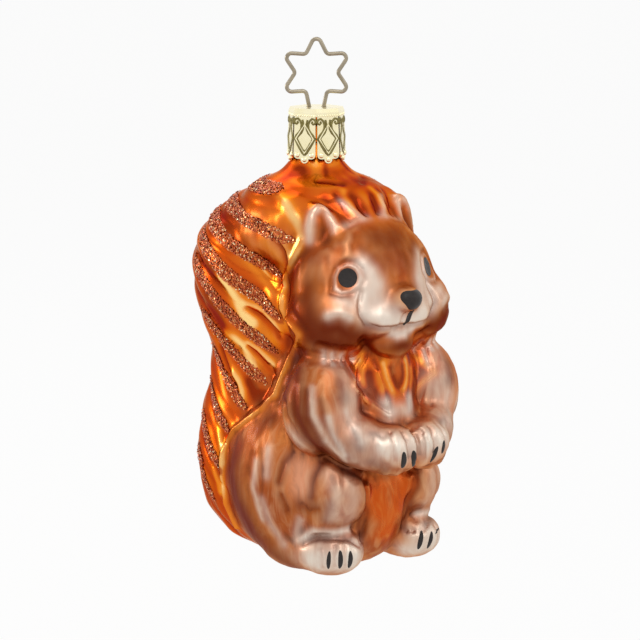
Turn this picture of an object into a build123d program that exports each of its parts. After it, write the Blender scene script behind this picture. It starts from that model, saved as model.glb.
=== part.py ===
from build123d import *
import os
from math import atan2, cos, degrees, pi, sin

# Hanging ornament: a blown glass squirrel with a stamped cap and a spring wire hanger.
# Lengths are millimetres. The figure faces -Y and +X is its left side.
# Forward is a distance in front of the neck axis, aside is a distance to one side of it,
# and rise is a height above the underside of the figure. Wide, deep and high are full sizes.
# The finished pieces are moved so that the inside of the hanger's top bend is the origin.

# Blown glass
glass_wall = 1.0

# Neck of the glass
neck_wide = 8.2
neck_bore = 6.4
rim_rise = 84.2
flare_top_rise = 75.9
flare_waist_wide = 11.4
flare_waist_rise = 71.2
flare_foot_wide = 20.8
flare_foot_rise = 69.0

# Tail, a lofted brush that leans on the back
tail_wide = 32.8
tail_deep = 35.4
tail_high = 71.6
tail_behind = 10.0

# Locks between the neck and the ears
mane_wide = 31.0
mane_deep = 24.0
mane_high = 19.4
mane_forward = 4.5
mane_rise = 61.8

# Head
head_wide = 31.0
head_deep = 20.0
head_high = 26.0
head_forward = 13.0
head_rise = 53.1
head_tilt = 12.0
cheek_size = 16.0
cheek_aside = 9.5
cheek_forward = 14.5
cheek_rise = 48.1
throat_wide = 26.0
throat_deep = 16.0
throat_high = 16.0
throat_forward = 11.0
throat_rise = 41.0
muzzle_wide = 16.0
muzzle_deep = 12.0
muzzle_high = 11.0
muzzle_forward = 18.5
muzzle_rise = 49.6
puff_wide = 9.2
puff_high = 7.8
puff_aside = 4.0
puff_forward = 19.8
puff_rise = 48.1
chin_wide = 8.6
chin_high = 6.6
chin_forward = 19.3
chin_rise = 43.1
nose_wide = 5.0
nose_deep = 3.8
nose_high = 3.8
nose_forward = 24.2
nose_rise = 51.4
ear_wide = 7.0
ear_deep = 5.0
ear_high = 17.0
ear_aside = 10.4
ear_forward = 10.7
ear_rise = 60.5
ear_lean = 6.0

# Trunk
trunk_wide = 32.0
trunk_deep = 28.0
trunk_high = 47.5
trunk_forward = 5.5
belly_wide = 23.0
belly_deep = 20.6
belly_high = 25.0
belly_forward = 10.0
chest_wide = 20.0
chest_deep = 17.0
chest_high = 22.0
chest_forward = 12.5
chest_rise = 35.1

# Arms and paws
arm_wide = 14.0
arm_deep = 15.2
arm_high = 20.5
arm_aside = 12.8
arm_forward = 15.0
arm_rise = 31.4
arm_lean = 10.0
forearm_wide = 10.6
forearm_long = 18.0
forearm_aside = 9.5
forearm_forward = 20.5
forearm_rise = 24.8
forearm_turn = 48.0
paw_wide = 9.2
paw_deep = 8.6
paw_high = 9.2
paw_aside = 4.9
paw_forward = 24.8
paw_rise = 24.3

# Legs and feet
haunch_wide = 15.0
haunch_deep = 28.0
haunch_high = 30.0
haunch_aside = 11.0
haunch_forward = 3.0
haunch_rise = 16.6
knee_size = 12.4
knee_aside = 8.9
knee_forward = 15.4
knee_rise = 15.6
foot_wide = 11.6
foot_deep = 16.0
foot_high = 9.6
foot_aside = 10.8
foot_forward = 13.6

# Glitter stripes on the tail
glitter_wide = 2.5
glitter_thick = 0.35
glitter_inner_aside = 1.0

# Stamped cap, a skirt of flat panels folded down from a flat top
cap_turn = -42.0
panel_count = 7
sheet = 0.3
cap_high = 10.0
cap_bevel = 0.7
skirt_bottom_wide = 11.4
skirt_top_wide = 10.6
cap_top_wide = 10.0
slit_wide = 0.35
slit_high = 8.6
lobe_radius = 0.8
lobe_apart = 1.4
lobe_step = 0.8
lozenge_wide = 3.9
lozenge_high = 5.6
lozenge_rise = 4.5
lozenge_line = 0.3
relief = 0.12
cap_seat_gap = 0.05

# Spring wire hanger, an open star with its two legs in the neck
wire_wide = 0.75
wire_flats = 6
wire_hole_gap = 0.2
star_points = 6
star_point_reach = 7.3
star_notch_reach = 3.9
star_rise = 6.3
star_tip_bend = 0.9
star_notch_bend = 0.8
leg_apart = 2.8
leg_spread = 4.4
leg_long = 8.0
leg_straight = 1.2
leg_bend = 1.0

overrun = 2.0

# Flat facets that the rounded masses are made of, the longest they are around a mass and
# the fewest around a small one
facet_long = 4.2
facet_least = 12

# The tail's level sections from the underside up, as shares of its height, of its width and
# depth alike, and of its reach behind the neck axis
tail_section_shares = (
    (0.008, 0.50, 0.36),
    (0.04, 0.745, 0.60),
    (0.11, 0.91, 0.82),
    (0.19, 0.985, 0.89),
    (0.27, 0.99, 0.90),
    (0.37, 0.94, 0.88),
    (0.45, 0.87, 0.82),
    (0.53, 0.85, 0.82),
    (0.61, 0.92, 0.90),
    (0.69, 0.985, 0.98),
    (0.76, 1.0, 1.0),
    (0.83, 0.955, 0.96),
    (0.88, 0.86, 0.87),
    (0.93, 0.70, 0.73),
    (0.97, 0.50, 0.52),
    (1.0, 0.27, 0.30),
)

# A stripe's width along its length, as shares of its length and its greatest width
stripe_outline_shares = ((0.12, 0.62), (0.35, 1.0), (0.65, 1.0), (0.88, 0.62))

# Each glitter stripe's upper and lower end, as shares of the tail's depth behind the neck
# axis and of its height, with its own share of the stripe width
stripe_end_shares = (
    (0.32, 0.985, 0.02, 0.965, 0.8),
    (0.47, 0.94, -0.23, 0.86, 1.1),
    (0.53, 0.905, -0.15, 0.77, 1.0),
    (0.54, 0.855, -0.04, 0.65, 1.0),
    (0.55, 0.785, -0.03, 0.56, 1.0),
    (0.50, 0.65, 0.0, 0.48, 0.9),
    (0.46, 0.55, 0.12, 0.41, 0.9),
    (0.50, 0.46, 0.20, 0.34, 0.9),
    (0.52, 0.37, 0.24, 0.24, 0.9),
    (0.54, 0.28, 0.32, 0.15, 0.8),
)


def facets_around(wide):
    """How many facets go round a form of this width, a multiple of four."""
    return max(facet_least, 4 * round(pi * wide / facet_long / 4))


def faceted(rings):
    """A closed solid of flat facets between level rings of corners. An end ring may be one point."""
    faces = [Face(Wire.make_polygon(ring)) for ring in (rings[0][::-1], rings[-1]) if len(ring) > 1]
    for lower, upper in zip(rings, rings[1:]):
        for index in range(max(len(lower), len(upper))):
            corners = []
            for ring, step in ((lower, 0), (lower, 1), (upper, 1), (upper, 0)):
                corner = ring[(index + step) % len(ring)]
                if corner not in corners:
                    corners.append(corner)
            faces.append(Face(Wire.make_polygon(corners)))
    return Solid(Shell(faces))


def oval_ring(wide, deep, count, behind, rise):
    """The corners of a level oval."""
    ring = []
    for index in range(count):
        turn = 2 * pi * index / count
        ring.append((wide / 2 * cos(turn), behind + deep / 2 * sin(turn), rise))
    return ring


def egg(wide, deep, high, aside, forward, rise, pitch=0, roll=0, yaw=0):
    """A faceted ellipsoid of the given full sizes, set at a place on the figure."""
    count = facets_around(max(wide, deep, high))
    levels = count // 2
    rings = [[(0, 0, -high / 2)]]
    for level in range(1, levels):
        angle = pi * level / levels
        rings.append(oval_ring(wide * sin(angle), deep * sin(angle), count, 0, -high / 2 * cos(angle)))
    rings.append([(0, 0, high / 2)])
    return Pos(aside, -forward, rise) * Rot(pitch, roll, yaw) * faceted(rings)


def middle_masses(inset=0):
    """The masses on the middle plane, trunk first, each drawn in all round by an inset."""
    less = 2 * inset
    return [
        egg(trunk_wide - less, trunk_deep - less, trunk_high - less, 0, trunk_forward, trunk_high / 2),
        egg(head_wide - less, head_deep - less, head_high - less, 0, head_forward, head_rise,
            pitch=-head_tilt),
        egg(mane_wide - less, mane_deep - less, mane_high - less, 0, mane_forward, mane_rise),
    ]


def face_masses():
    return [
        egg(throat_wide, throat_deep, throat_high, 0, throat_forward, throat_rise),
        egg(muzzle_wide, muzzle_deep, muzzle_high, 0, muzzle_forward, muzzle_rise),
        egg(chin_wide, chin_wide, chin_high, 0, chin_forward, chin_rise),
        egg(nose_wide, nose_deep, nose_high, 0, nose_forward, nose_rise),
        egg(belly_wide, belly_deep, belly_high, 0, belly_forward, belly_high / 2),
        egg(chest_wide, chest_deep, chest_high, 0, chest_forward, chest_rise),
    ]


def right_masses():
    """The masses of the right side, from the ear down to the foot."""
    return [
        egg(ear_wide, ear_deep, ear_high, -ear_aside, ear_forward, ear_rise, roll=-ear_lean),
        egg(cheek_size, cheek_size, cheek_size, -cheek_aside, cheek_forward, cheek_rise),
        egg(puff_wide, puff_wide, puff_high, -puff_aside, puff_forward, puff_rise),
        egg(arm_wide, arm_deep, arm_high, -arm_aside, arm_forward, arm_rise, roll=arm_lean),
        egg(forearm_wide, forearm_long, forearm_wide, -forearm_aside, forearm_forward, forearm_rise,
            yaw=forearm_turn),
        egg(paw_wide, paw_deep, paw_high, -paw_aside, paw_forward, paw_rise),
        egg(haunch_wide, haunch_deep, haunch_high, -haunch_aside, haunch_forward, haunch_rise),
        egg(knee_size, knee_size, knee_size, -knee_aside, knee_forward, knee_rise),
        egg(foot_wide, foot_deep, foot_high, -foot_aside, foot_forward, foot_high / 2),
    ]


def tail_solid(inset=0):
    """The tail through its level sections, drawn in all round by an inset."""
    rings = []
    count = facets_around(tail_deep)
    for high, size, behind in tail_section_shares:
        rise = inset + high * (tail_high - 2 * inset)
        rings.append(oval_ring(size * (tail_wide - 2 * inset), size * (tail_deep - 2 * inset), count,
                               behind * tail_behind, rise))
    return faceted(rings)


def neck_solid():
    """The neck turned about its axis, flaring in two slopes into the shoulder."""
    outline = Polyline((0, rim_rise), (neck_wide / 2, rim_rise), (neck_wide / 2, flare_top_rise),
                       (flare_waist_wide / 2, flare_waist_rise), (flare_foot_wide / 2, flare_foot_rise),
                       (0, flare_foot_rise), close=True)
    return revolve(Plane.XZ * make_face(outline), Axis.Z)


def glass_solid():
    """The figure's outer form, filled."""
    right = right_masses()
    left = [mirror(mass, about=Plane.YZ) for mass in right]
    return tail_solid().fuse(*middle_masses(), *face_masses(), *right, *left, neck_solid())


def glass_hollow():
    """The blown space, one wall inside the tail, trunk and head and open through the neck."""
    bore_long = rim_rise - mane_rise + overrun
    bore = Pos(0, 0, mane_rise) * Cylinder(neck_bore / 2, bore_long,
                                           align=(Align.CENTER, Align.CENTER, Align.MIN))
    return tail_solid(glass_wall).fuse(*middle_masses(glass_wall), bore)


def glitter_stripes(filled):
    """Bonded glitter, as thin tapering bands on both sides of the tail."""
    skin = tail_solid(-glitter_thick) - filled
    side = tail_wide / 2 + overrun
    bands = []
    for upper, upper_rise, lower, lower_rise, width_share in stripe_end_shares:
        start = Vector(upper * tail_deep, upper_rise * tail_high)
        end = Vector(lower * tail_deep, lower_rise * tail_high)
        across = (end - start).normalized().rotate(Axis.Z, 90) * (width_share * glitter_wide / 2)
        one_side = [start + (end - start) * along + across * wide for along, wide in stripe_outline_shares]
        other_side = [start + (end - start) * along - across * wide for along, wide in stripe_outline_shares]
        corners = [start, *one_side, end, *reversed(other_side)]
        outline = make_face(Polyline(*corners, close=True))
        blade = extrude(Plane.YZ.offset(glitter_inner_aside) * outline, side)
        band = blade & skin
        bands += band.solids() + mirror(band, about=Plane.YZ).solids()
    return Compound(children=bands)


def panel_ring(wide, rise):
    """A level outline with one corner for each panel, one corner facing forward."""
    ring = RegularPolygon(wide / 2, panel_count, align=None)
    return Pos(0, 0, rise) * Rot(0, 0, -90) * ring


def flat_lean(bottom_wide, top_wide, high):
    """The inward lean in degrees of a panel's flat between two corner circles."""
    return degrees(atan2((bottom_wide - top_wide) / 2 * cos(pi / panel_count), high))


def cap_form(inset, top_inset):
    """The cap filled, drawn in by an inset on its sides and another at its top."""
    less = 2 * inset
    skirt_high = cap_high - cap_bevel - top_inset
    skirt_lean = flat_lean(skirt_bottom_wide, skirt_top_wide, skirt_high)
    bevel_lean = flat_lean(skirt_top_wide, cap_top_wide, cap_bevel)
    skirt = extrude(panel_ring(skirt_bottom_wide - less, 0), skirt_high, taper=skirt_lean)
    bevel = extrude(panel_ring(skirt_top_wide - less, skirt_high), cap_bevel, taper=bevel_lean)
    return skirt + bevel


def diamond(wide, high):
    return make_face(Polyline((wide / 2, 0), (0, high / 2), (-wide / 2, 0), (0, -high / 2), close=True))


def scallop_cut(panel_wide):
    """What the scalloped edge of one panel leaves away, as a face seen from outside."""
    side_rise = lobe_radius + lobe_step
    strip = Pos(0, side_rise / 2) * Rectangle(panel_wide, side_rise)
    lobes = Pos(0, lobe_radius) * Circle(lobe_radius)
    lobes += Pos(0, lobe_radius + lobe_step / 2) * Rectangle(2 * lobe_apart, lobe_step)
    for side in (-1, 1):
        lobes += Pos(side * lobe_apart, side_rise) * Circle(lobe_radius)
    return strip - lobes


def crown_cap():
    """The stamped cap with its slits, scalloped panels and raised lozenges."""
    corner_inset = sheet / cos(pi / panel_count)
    cap = cap_form(0, 0) - cap_form(corner_inset, sheet)
    step = 360 / panel_count
    flat_radius = skirt_bottom_wide / 2 * cos(pi / panel_count)
    lean = flat_lean(skirt_bottom_wide, skirt_top_wide, cap_high - cap_bevel)
    panel_wide = skirt_bottom_wide * sin(pi / panel_count)
    for panel in range(panel_count):
        at_slit = Rot(0, 0, step * panel)
        slit = Pos(0, -skirt_bottom_wide / 2, 0) * Box(slit_wide, skirt_bottom_wide / 2, slit_high,
                                                       align=(Align.CENTER, Align.CENTER, Align.MIN))
        at_flat = Rot(0, 0, step * (panel + 1 / 2)) * Pos(0, -flat_radius, 0) * Rot(90 - lean, 0, 0)
        edge = extrude(at_flat * scallop_cut(panel_wide), overrun, both=True)
        frame = diamond(lozenge_wide, lozenge_high) - diamond(lozenge_wide - 2 * lozenge_line,
                                                              lozenge_high - 2 * lozenge_line)
        ridge = extrude(Pos(0, 0, -sheet / 2) * frame, sheet / 2 + relief)
        cap = cap - at_slit * slit - edge + at_flat * Pos(0, lozenge_rise, 0) * ridge
    for side in (-1, 1):
        cap -= Pos(side * leg_apart / 2, 0, cap_high) * Cylinder(wire_wide / 2 + wire_hole_gap, overrun)
    return cap


def hanger():
    """One wire bent to a star, from one leg end round to the other, in the plane of X and Z."""
    leg = [(-leg_spread / 2, 0, -leg_long), (-leg_apart / 2, 0, -leg_straight), (-leg_apart / 2, 0, sheet)]
    other_leg = [(-x, y, z) for x, y, z in reversed(leg)]
    star = []
    bends = []
    for corner in range(1, 2 * star_points):
        angle = pi + pi * corner / star_points
        reach, bend = ((star_point_reach, star_tip_bend), (star_notch_reach, star_notch_bend))[corner % 2]
        star.append((reach * sin(angle), 0, star_rise + reach * cos(angle)))
        bends.append(bend)
    leg_bends = [leg_bend, leg_bend]
    route = FilletPolyline(*leg, *star, *other_leg, radius=leg_bends + bends + leg_bends)
    section = Plane(origin=route @ 0, z_dir=route % 0) * RegularPolygon(wire_wide / 2, wire_flats)
    return sweep(section, path=route)


def hanging_rise(cap_top_rise):
    """The rise of the inside of the star's top bend, where the hook bears."""
    half_step = pi / star_points
    tip_half = atan2(star_notch_reach * sin(half_step), star_point_reach - star_notch_reach * cos(half_step))
    tip_drop = star_tip_bend / sin(tip_half) - star_tip_bend
    return cap_top_rise + star_rise + star_point_reach - tip_drop - wire_wide / 2


def main():
    os.makedirs("parts", exist_ok=True)
    filled = glass_solid()
    cap_top_rise = rim_rise + cap_seat_gap + sheet
    turned = Pos(0, 0, cap_top_rise - cap_high) * Rot(0, 0, cap_turn)
    raised = Pos(0, 0, cap_top_rise) * Rot(0, 0, cap_turn)
    nodes = {
        "glass_body": filled - glass_hollow(),
        "glitter_stripes": glitter_stripes(filled),
        "crown_cap": turned * crown_cap(),
        "hanger": raised * hanger(),
    }
    down = Pos(0, 0, -hanging_rise(cap_top_rise))
    for name, node in nodes.items():
        export_step(down * node, "parts/" + name + ".step")
        print(name, "made, cubic millimetres:", round(node.volume, 1))
    print("underside of the figure at", round(-hanging_rise(cap_top_rise), 2))


main()
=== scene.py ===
import math
import bmesh
import bpy
import numpy as np
from mathutils import Euler, Matrix, Vector, noise
from mathutils.bvhtree import BVHTree


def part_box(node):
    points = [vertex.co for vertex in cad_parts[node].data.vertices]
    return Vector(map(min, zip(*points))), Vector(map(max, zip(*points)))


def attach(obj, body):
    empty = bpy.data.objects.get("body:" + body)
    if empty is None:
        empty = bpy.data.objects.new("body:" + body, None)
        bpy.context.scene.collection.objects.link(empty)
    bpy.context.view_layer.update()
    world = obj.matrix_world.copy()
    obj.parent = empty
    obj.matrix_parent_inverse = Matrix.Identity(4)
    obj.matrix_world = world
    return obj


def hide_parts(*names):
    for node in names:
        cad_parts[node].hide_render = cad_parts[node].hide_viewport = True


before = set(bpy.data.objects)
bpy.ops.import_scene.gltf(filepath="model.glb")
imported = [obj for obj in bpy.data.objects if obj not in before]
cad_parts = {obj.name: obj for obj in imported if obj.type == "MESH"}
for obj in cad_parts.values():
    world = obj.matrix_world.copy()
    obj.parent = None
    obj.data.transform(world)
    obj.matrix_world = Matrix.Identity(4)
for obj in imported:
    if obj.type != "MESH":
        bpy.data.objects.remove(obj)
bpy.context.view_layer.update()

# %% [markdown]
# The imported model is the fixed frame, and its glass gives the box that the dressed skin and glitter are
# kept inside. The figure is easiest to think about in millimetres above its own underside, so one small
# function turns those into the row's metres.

MM = 0.001
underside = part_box("glass_body")[0].z
to_row = Matrix.Translation((0, 0, underside)) @ Matrix.Scale(MM, 4)

# %% [markdown]
# The camera stands where the photograph was taken: to the figure's right, a little above it, and
# far enough away that the neck and the feet have the same scale. It comes first because the
# sculptor's marks below are read from the photograph and cast onto the glass from this point.

# %% Camera
AZIMUTH, ELEVATION = math.radians(-42), math.radians(10.28)
CAMERA_FAR = 527.5
CAMERA_AIM = Vector((0, -2, 41.1))
LENS_PIXELS = 2822.0
SHIFT_PIXELS = (3.7, 19.5)
IMAGE_SIZE = 640
SENSOR_MM = 36
NEAREST_SEEN = 0.01
camera_back = Vector((math.sin(AZIMUTH) * math.cos(ELEVATION),
                      -math.cos(AZIMUTH) * math.cos(ELEVATION), math.sin(ELEVATION)))
camera_right = Vector((math.cos(AZIMUTH), math.sin(AZIMUTH), 0))
camera_up = camera_back.cross(camera_right)
camera_place = CAMERA_AIM + camera_back * CAMERA_FAR

camera_data = bpy.data.cameras.new("camera")
camera_data.sensor_width = SENSOR_MM
camera_data.lens = LENS_PIXELS / IMAGE_SIZE * SENSOR_MM
camera_data.shift_x = -SHIFT_PIXELS[0] / IMAGE_SIZE
camera_data.shift_y = SHIFT_PIXELS[1] / IMAGE_SIZE
camera_data.clip_start = NEAREST_SEEN
camera = bpy.data.objects.new("camera", camera_data)
camera.matrix_world = (Matrix.Translation(to_row @ camera_place)
                       @ Matrix((camera_right, camera_up, camera_back)).transposed().to_4x4())
bpy.context.scene.collection.objects.link(camera)
bpy.context.scene.camera = camera
print("lens", round(camera_data.lens, 1), "mm at", [round(c, 3) for c in camera.location])

# %% [markdown]
# Every material below is a small net of nodes, so one function adds a node with its settings and
# links. Another turns the hex codes that people read into the linear colours that shaders use.
# A colour mix numbers its sockets, so the numbers get names here.

# %% A node helper and colours
# a colour mix's share of the second colour, its two colours, and its result
SHARE, UNDER, OVER, RESULT = 0, 6, 7, 2
# the part of its range that a noise really fills
SPREAD = {"From Min": 0.3, "From Max": 0.7}


def linear(code):
    """An sRGB hex colour as the linear RGBA that shaders use."""
    parts = [int(code[i:i + 2], 16) / 255 for i in (1, 3, 5)]
    return [p / 12.92 if p <= 0.04045 else ((p + 0.055) / 1.055) ** 2.4 for p in parts] + [1.0]


def add(tree, kind, inputs=None, **settings):
    """Adds a node with its settings. An input is a value, or a socket to link from."""
    node = tree.nodes.new(kind)
    for name, value in settings.items():
        setattr(node, name, value)
    for name, value in (inputs or {}).items():
        if isinstance(value, bpy.types.NodeSocket):
            tree.links.new(value, node.inputs[name])
        else:
            node.inputs[name].default_value = value
    return node


print("copper brown in linear light:", [round(c, 3) for c in linear("#A24E22")])

# %% [markdown]
# A product photograph of silvered glass is lit by big soft boxes and a white surround. The world
# gives an even light, and shows pure white to the camera and to mirror-like reflections. The
# floor lies well below the ornament, because it hangs, and is pale enough to vanish in the white.

# %% World, floor and lamps
DAYLIGHT = 0.5
FLOOR_WHITE = 0.93
FLOOR_BELOW, FLOOR_RADIUS = 60 * MM, 6.0


def seen_white(tree):
    """1 for the rays that look at the surround itself, and 0 for those that carry its light."""
    path = add(tree, "ShaderNodeLightPath")
    seen = path.outputs["Is Camera Ray"]
    for ray in ("Is Glossy Ray", "Is Transmission Ray"):
        seen = add(tree, "ShaderNodeMath", {0: seen, 1: path.outputs[ray]}, operation="MAXIMUM").outputs[0]
    return seen


world = bpy.data.worlds.new("white_surround")
bpy.context.scene.world = world
world.use_nodes = True
tree = world.node_tree
tree.nodes.clear()
strength = add(tree, "ShaderNodeMapRange", {"Value": seen_white(tree), "To Min": DAYLIGHT, "To Max": 1.0})
background = add(tree, "ShaderNodeBackground", {"Color": linear("#FFFFFF"), "Strength": strength.outputs[0]})
add(tree, "ShaderNodeOutputWorld", {"Surface": background.outputs[0]})

floor_mesh = bmesh.new()
bmesh.ops.create_circle(floor_mesh, cap_ends=True, segments=96, radius=FLOOR_RADIUS,
                        matrix=Matrix.Translation((0, 0, underside - FLOOR_BELOW)))
floor_data = bpy.data.meshes.new("floor")
floor_mesh.to_mesh(floor_data)
floor = bpy.data.objects.new("floor", floor_data)
bpy.context.scene.collection.objects.link(floor)
paper = bpy.data.materials.new("matt_white_paper_sweep")
paper.use_nodes = True
tree = paper.node_tree
tree.nodes.clear()
matt = add(tree, "ShaderNodeBsdfDiffuse", {"Color": linear("#F2F1EE")})
glow = add(tree, "ShaderNodeEmission", {"Color": linear("#FFFFFF"), "Strength": 1.0})
share = add(tree, "ShaderNodeMath", {0: seen_white(tree), 1: FLOOR_WHITE}, operation="MULTIPLY")
both = add(tree, "ShaderNodeMixShader", {0: share.outputs[0], 1: matt.outputs[0], 2: glow.outputs[0]})
add(tree, "ShaderNodeOutputMaterial", {"Surface": both.outputs[0]})
floor_data.materials.append(paper)

LAMPS = (
    # name, degrees round, degrees up, distance m, size m, radiance
    ("key_softbox", -26, 50, 0.62, 0.36, 2.1),
    ("fill_softbox", 40, 25, 0.75, 0.30, 1.2),
    ("back_softbox", 170, 45, 0.70, 0.40, 1.8),
    ("edge_softbox", -146, 10, 0.60, 0.16, 9.0),
)
for name, round_by, up_by, far, size, radiance in LAMPS:
    lamp_data = bpy.data.lights.new(name, "AREA")
    lamp_data.shape = "SQUARE"
    lamp_data.size = size
    lamp_data.energy = radiance * math.pi * size ** 2
    a, e = math.radians(round_by), math.radians(up_by)
    away = Vector((math.sin(a) * math.cos(e), -math.cos(a) * math.cos(e), math.sin(e)))
    lamp = bpy.data.objects.new(name, lamp_data)
    aimed = away.to_track_quat("Z", "Y").to_matrix().to_4x4()
    lamp.matrix_world = Matrix.Translation(to_row @ CAMERA_AIM + away * far) @ aimed
    bpy.context.scene.collection.objects.link(lamp)
bpy.context.scene.view_settings.view_transform = "Standard"
print(len(LAMPS), "soft boxes and a floor", FLOOR_BELOW, "m below the figure")

# %% [markdown]
# The squirrel is one bubble of glass blown into a mould, so it is sculpted as one skin. It could
# be pushed out of a sphere, but a sculptor starts from masses: each is an egg of clay, and the
# tail is a tapering column whose sections are listed from the bottom up. Most sizes are the
# CAD's. The nose, ears and chest are nearer to the photograph, and the nape, crest, bib, fingers
# and heels, with the second mane and knee, are masses that the CAD doesn't have.

# %% The masses of the figure
# name, full width, depth, height, aside, forward, rise, pitch, roll, yaw in mm and degrees
MIDDLE_EGGS = (
    ("trunk", 30, 25, 47.5, 0, 6.5, 23.75, 0, 0, 0),
    ("head", 31, 20, 26, 0, 13, 53.1, -12, 0, 0),
    ("mane", 31, 24, 19.4, 0, 4.5, 61.8, 0, 0, 0),
    ("muzzle", 16, 12, 11, 0, 18.5, 49.6, 0, 0, 0),
    ("chin", 10.8, 9.4, 7.0, 0, 18.9, 42.9, 0, 0, 0),
    ("nose", 6.4, 5.2, 4.8, 0, 24.4, 51.5, 0, 0, 0),
    ("belly", 23, 20.6, 25, 0, 10, 12.5, 0, 0, 0),
    ("chest", 20, 19, 22, 0, 13, 35.1, 0, 0, 0),
    ("throat", 26, 16, 16, 0, 11, 41, 0, 0, 0),
    ("bib", 15, 12, 13, 0, 17.2, 30, 0, 0, 0),
    ("mane", 30.4, 33, 17, 0, -1, 61.6, 0, 0, 0),
    ("nape", 28.2, 22, 28, 0, 3, 49, 0, 0, 0),
)
SIDE_EGGS = (
    ("ear", 6.4, 4.8, 16.4, 9.8, 11.4, 60.6, 0, 4, 0),
    ("crest", 11, 12, 12, 9.0, 6, 64.5, 0, 0, 0),
    ("cheek", 16, 16, 16, 9.5, 14.5, 48.1, 0, 0, 0),
    ("puff", 9.2, 9.2, 7.8, 4, 19.8, 48.1, 0, 0, 0),
    ("arm", 13.6, 14.8, 19.0, 12.6, 15.1, 32.7, 0, -10, 0),
    ("forearm", 9.6, 18, 9.6, 9.2, 20.6, 26.2, 24, 0, -48),
    ("paw", 10.8, 8.6, 9.2, 4.2, 24.6, 24.3, 0, 0, 0),
    ("finger", 2.9, 5.4, 8.6, 1.6, 26.2, 24.2, 0, 0, 0),
    ("finger", 2.9, 5.6, 8.8, 4.2, 26.1, 24.0, 0, 0, 0),
    ("finger", 3.0, 5.4, 8.2, 6.7, 25.4, 24.0, 0, 0, 0),
    ("haunch", 15, 28, 30, 11, 3, 16.6, 0, 0, 0),
    ("knee", 12.4, 12.4, 12.4, 8.9, 15.4, 15.6, 0, 0, 0),
    ("knee", 13, 21, 19, 10.2, 10.2, 15.4, 0, 0, 0),
    ("foot", 11.6, 16, 9.6, 9.8, 13.7, 4.8, 0, 0, 0),
    ("heel", 12.4, 18, 9, 10.2, 7, 4.5, 0, 0, 0),
)


def egg_place(wide, deep, high, aside, forward, rise, pitch, roll, yaw):
    """Where a unit sphere goes to become this egg."""
    turn = Euler([math.radians(angle) for angle in (pitch, roll, yaw)]).to_matrix().to_4x4()
    return (Matrix.Translation((aside, -forward, rise)) @ turn
            @ Matrix.Diagonal((wide / 2, deep / 2, high / 2, 1)))


eggs = [(name, egg_place(*sizes)) for name, *sizes in MIDDLE_EGGS]
for name, wide, deep, high, aside, forward, rise, pitch, roll, yaw in SIDE_EGGS:
    for side in (-1, 1):
        place = egg_place(wide, deep, high, side * aside, forward, rise, pitch, side * roll, side * yaw)
        eggs.append((name, place))
print(len(eggs), "eggs of clay")

# %% [markdown]
# The tail is pulled from a sphere: each level of the sphere goes to a level of the tail and takes
# the width found there. All the masses are then melted into one skin with a voxel remesh, which
# is how a sculptor blends clay, at a grain of 0.47 mm, between two and three pixels wide here.

# %% Tail, neck and one skin
TAIL_WIDE, TAIL_DEEP, TAIL_HIGH, TAIL_BEHIND = 32.8, 35.4, 71.6, 10.0
TAIL_RISES = (0, 0.008, 0.04, 0.11, 0.19, 0.27, 0.37, 0.45, 0.53, 0.61,
              0.69, 0.76, 0.83, 0.88, 0.93, 0.97, 1.0)
TAIL_SIZES = (0.44, 0.50, 0.745, 0.91, 0.985, 0.99, 0.94, 0.87, 0.85, 0.92,
              0.985, 1.0, 0.955, 0.86, 0.70, 0.50, 0.27)
TAIL_BACKS = (0.33, 0.36, 0.60, 0.82, 0.89, 0.90, 0.88, 0.82, 0.82, 0.90,
              0.98, 1.0, 0.96, 0.87, 0.73, 0.52, 0.30)
NECK_RADIUS, NECK_BORE, RIM_RISE, NECK_CUT = 4.1, 3.2, 84.2, 75.4
# radius and height of the foot of the neck, where it flares into the head and tail
NECK_FOOT = ((0, 60), (15.2, 60), (14.8, 65.5), (13.4, 69.0), (11.3, 70.8), (9.3, 71.6), (7.6, 72.2),
             (6.5, 72.9), (5.9, 73.5), (5.5, 74.1), (4.9, 74.7), (4.5, 75.3), (4.3, 76), (4.3, 78), (0, 78))
GRAIN = 0.47
SAME_PLACE, ON_AXIS = 1e-4, 1e-6


def tail_section(share):
    """Half width, half depth and place behind the neck axis at a share of the tail's height."""
    size = np.interp(share, TAIL_RISES, TAIL_SIZES)
    behind = np.interp(share, TAIL_RISES, TAIL_BACKS) * TAIL_BEHIND
    return size * TAIL_WIDE / 2, size * TAIL_DEEP / 2, behind


def turned_shape(outline, steps):
    """A shape spun round the neck's axis from an outline of radius and height."""
    bm = bmesh.new()
    ring = [bm.verts.new((radius, 0, rise)) for radius, rise in outline]
    profile = ring + [bm.edges.new(pair) for pair in zip(ring, ring[1:])]
    bmesh.ops.spin(bm, geom=profile, cent=(0, 0, 0), axis=(0, 0, 1), angle=2 * math.pi,
                   steps=steps, use_merge=True)
    return bm


clay = bmesh.new()
lump_data = bpy.data.meshes.new("lump")
for name, place in eggs:
    lump = bmesh.new()
    bmesh.ops.create_uvsphere(lump, u_segments=64, v_segments=32, radius=1, matrix=place)
    lump.to_mesh(lump_data)
    clay.from_mesh(lump_data)
lump = bmesh.new()
tail = bmesh.ops.create_uvsphere(lump, u_segments=96, v_segments=64, radius=1)["verts"]
for vert in tail:
    share = 0.5 + math.asin(max(-1, min(1, vert.co.z))) / math.pi
    half_wide, half_deep, behind = tail_section(share)
    flat = math.hypot(vert.co.x, vert.co.y)
    around = Vector((vert.co.x, vert.co.y)) / flat if flat > ON_AXIS else Vector((0, 0))
    vert.co = (around.x * half_wide, behind + around.y * half_deep, share * TAIL_HIGH)
lump.to_mesh(lump_data)
clay.from_mesh(lump_data)

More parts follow.
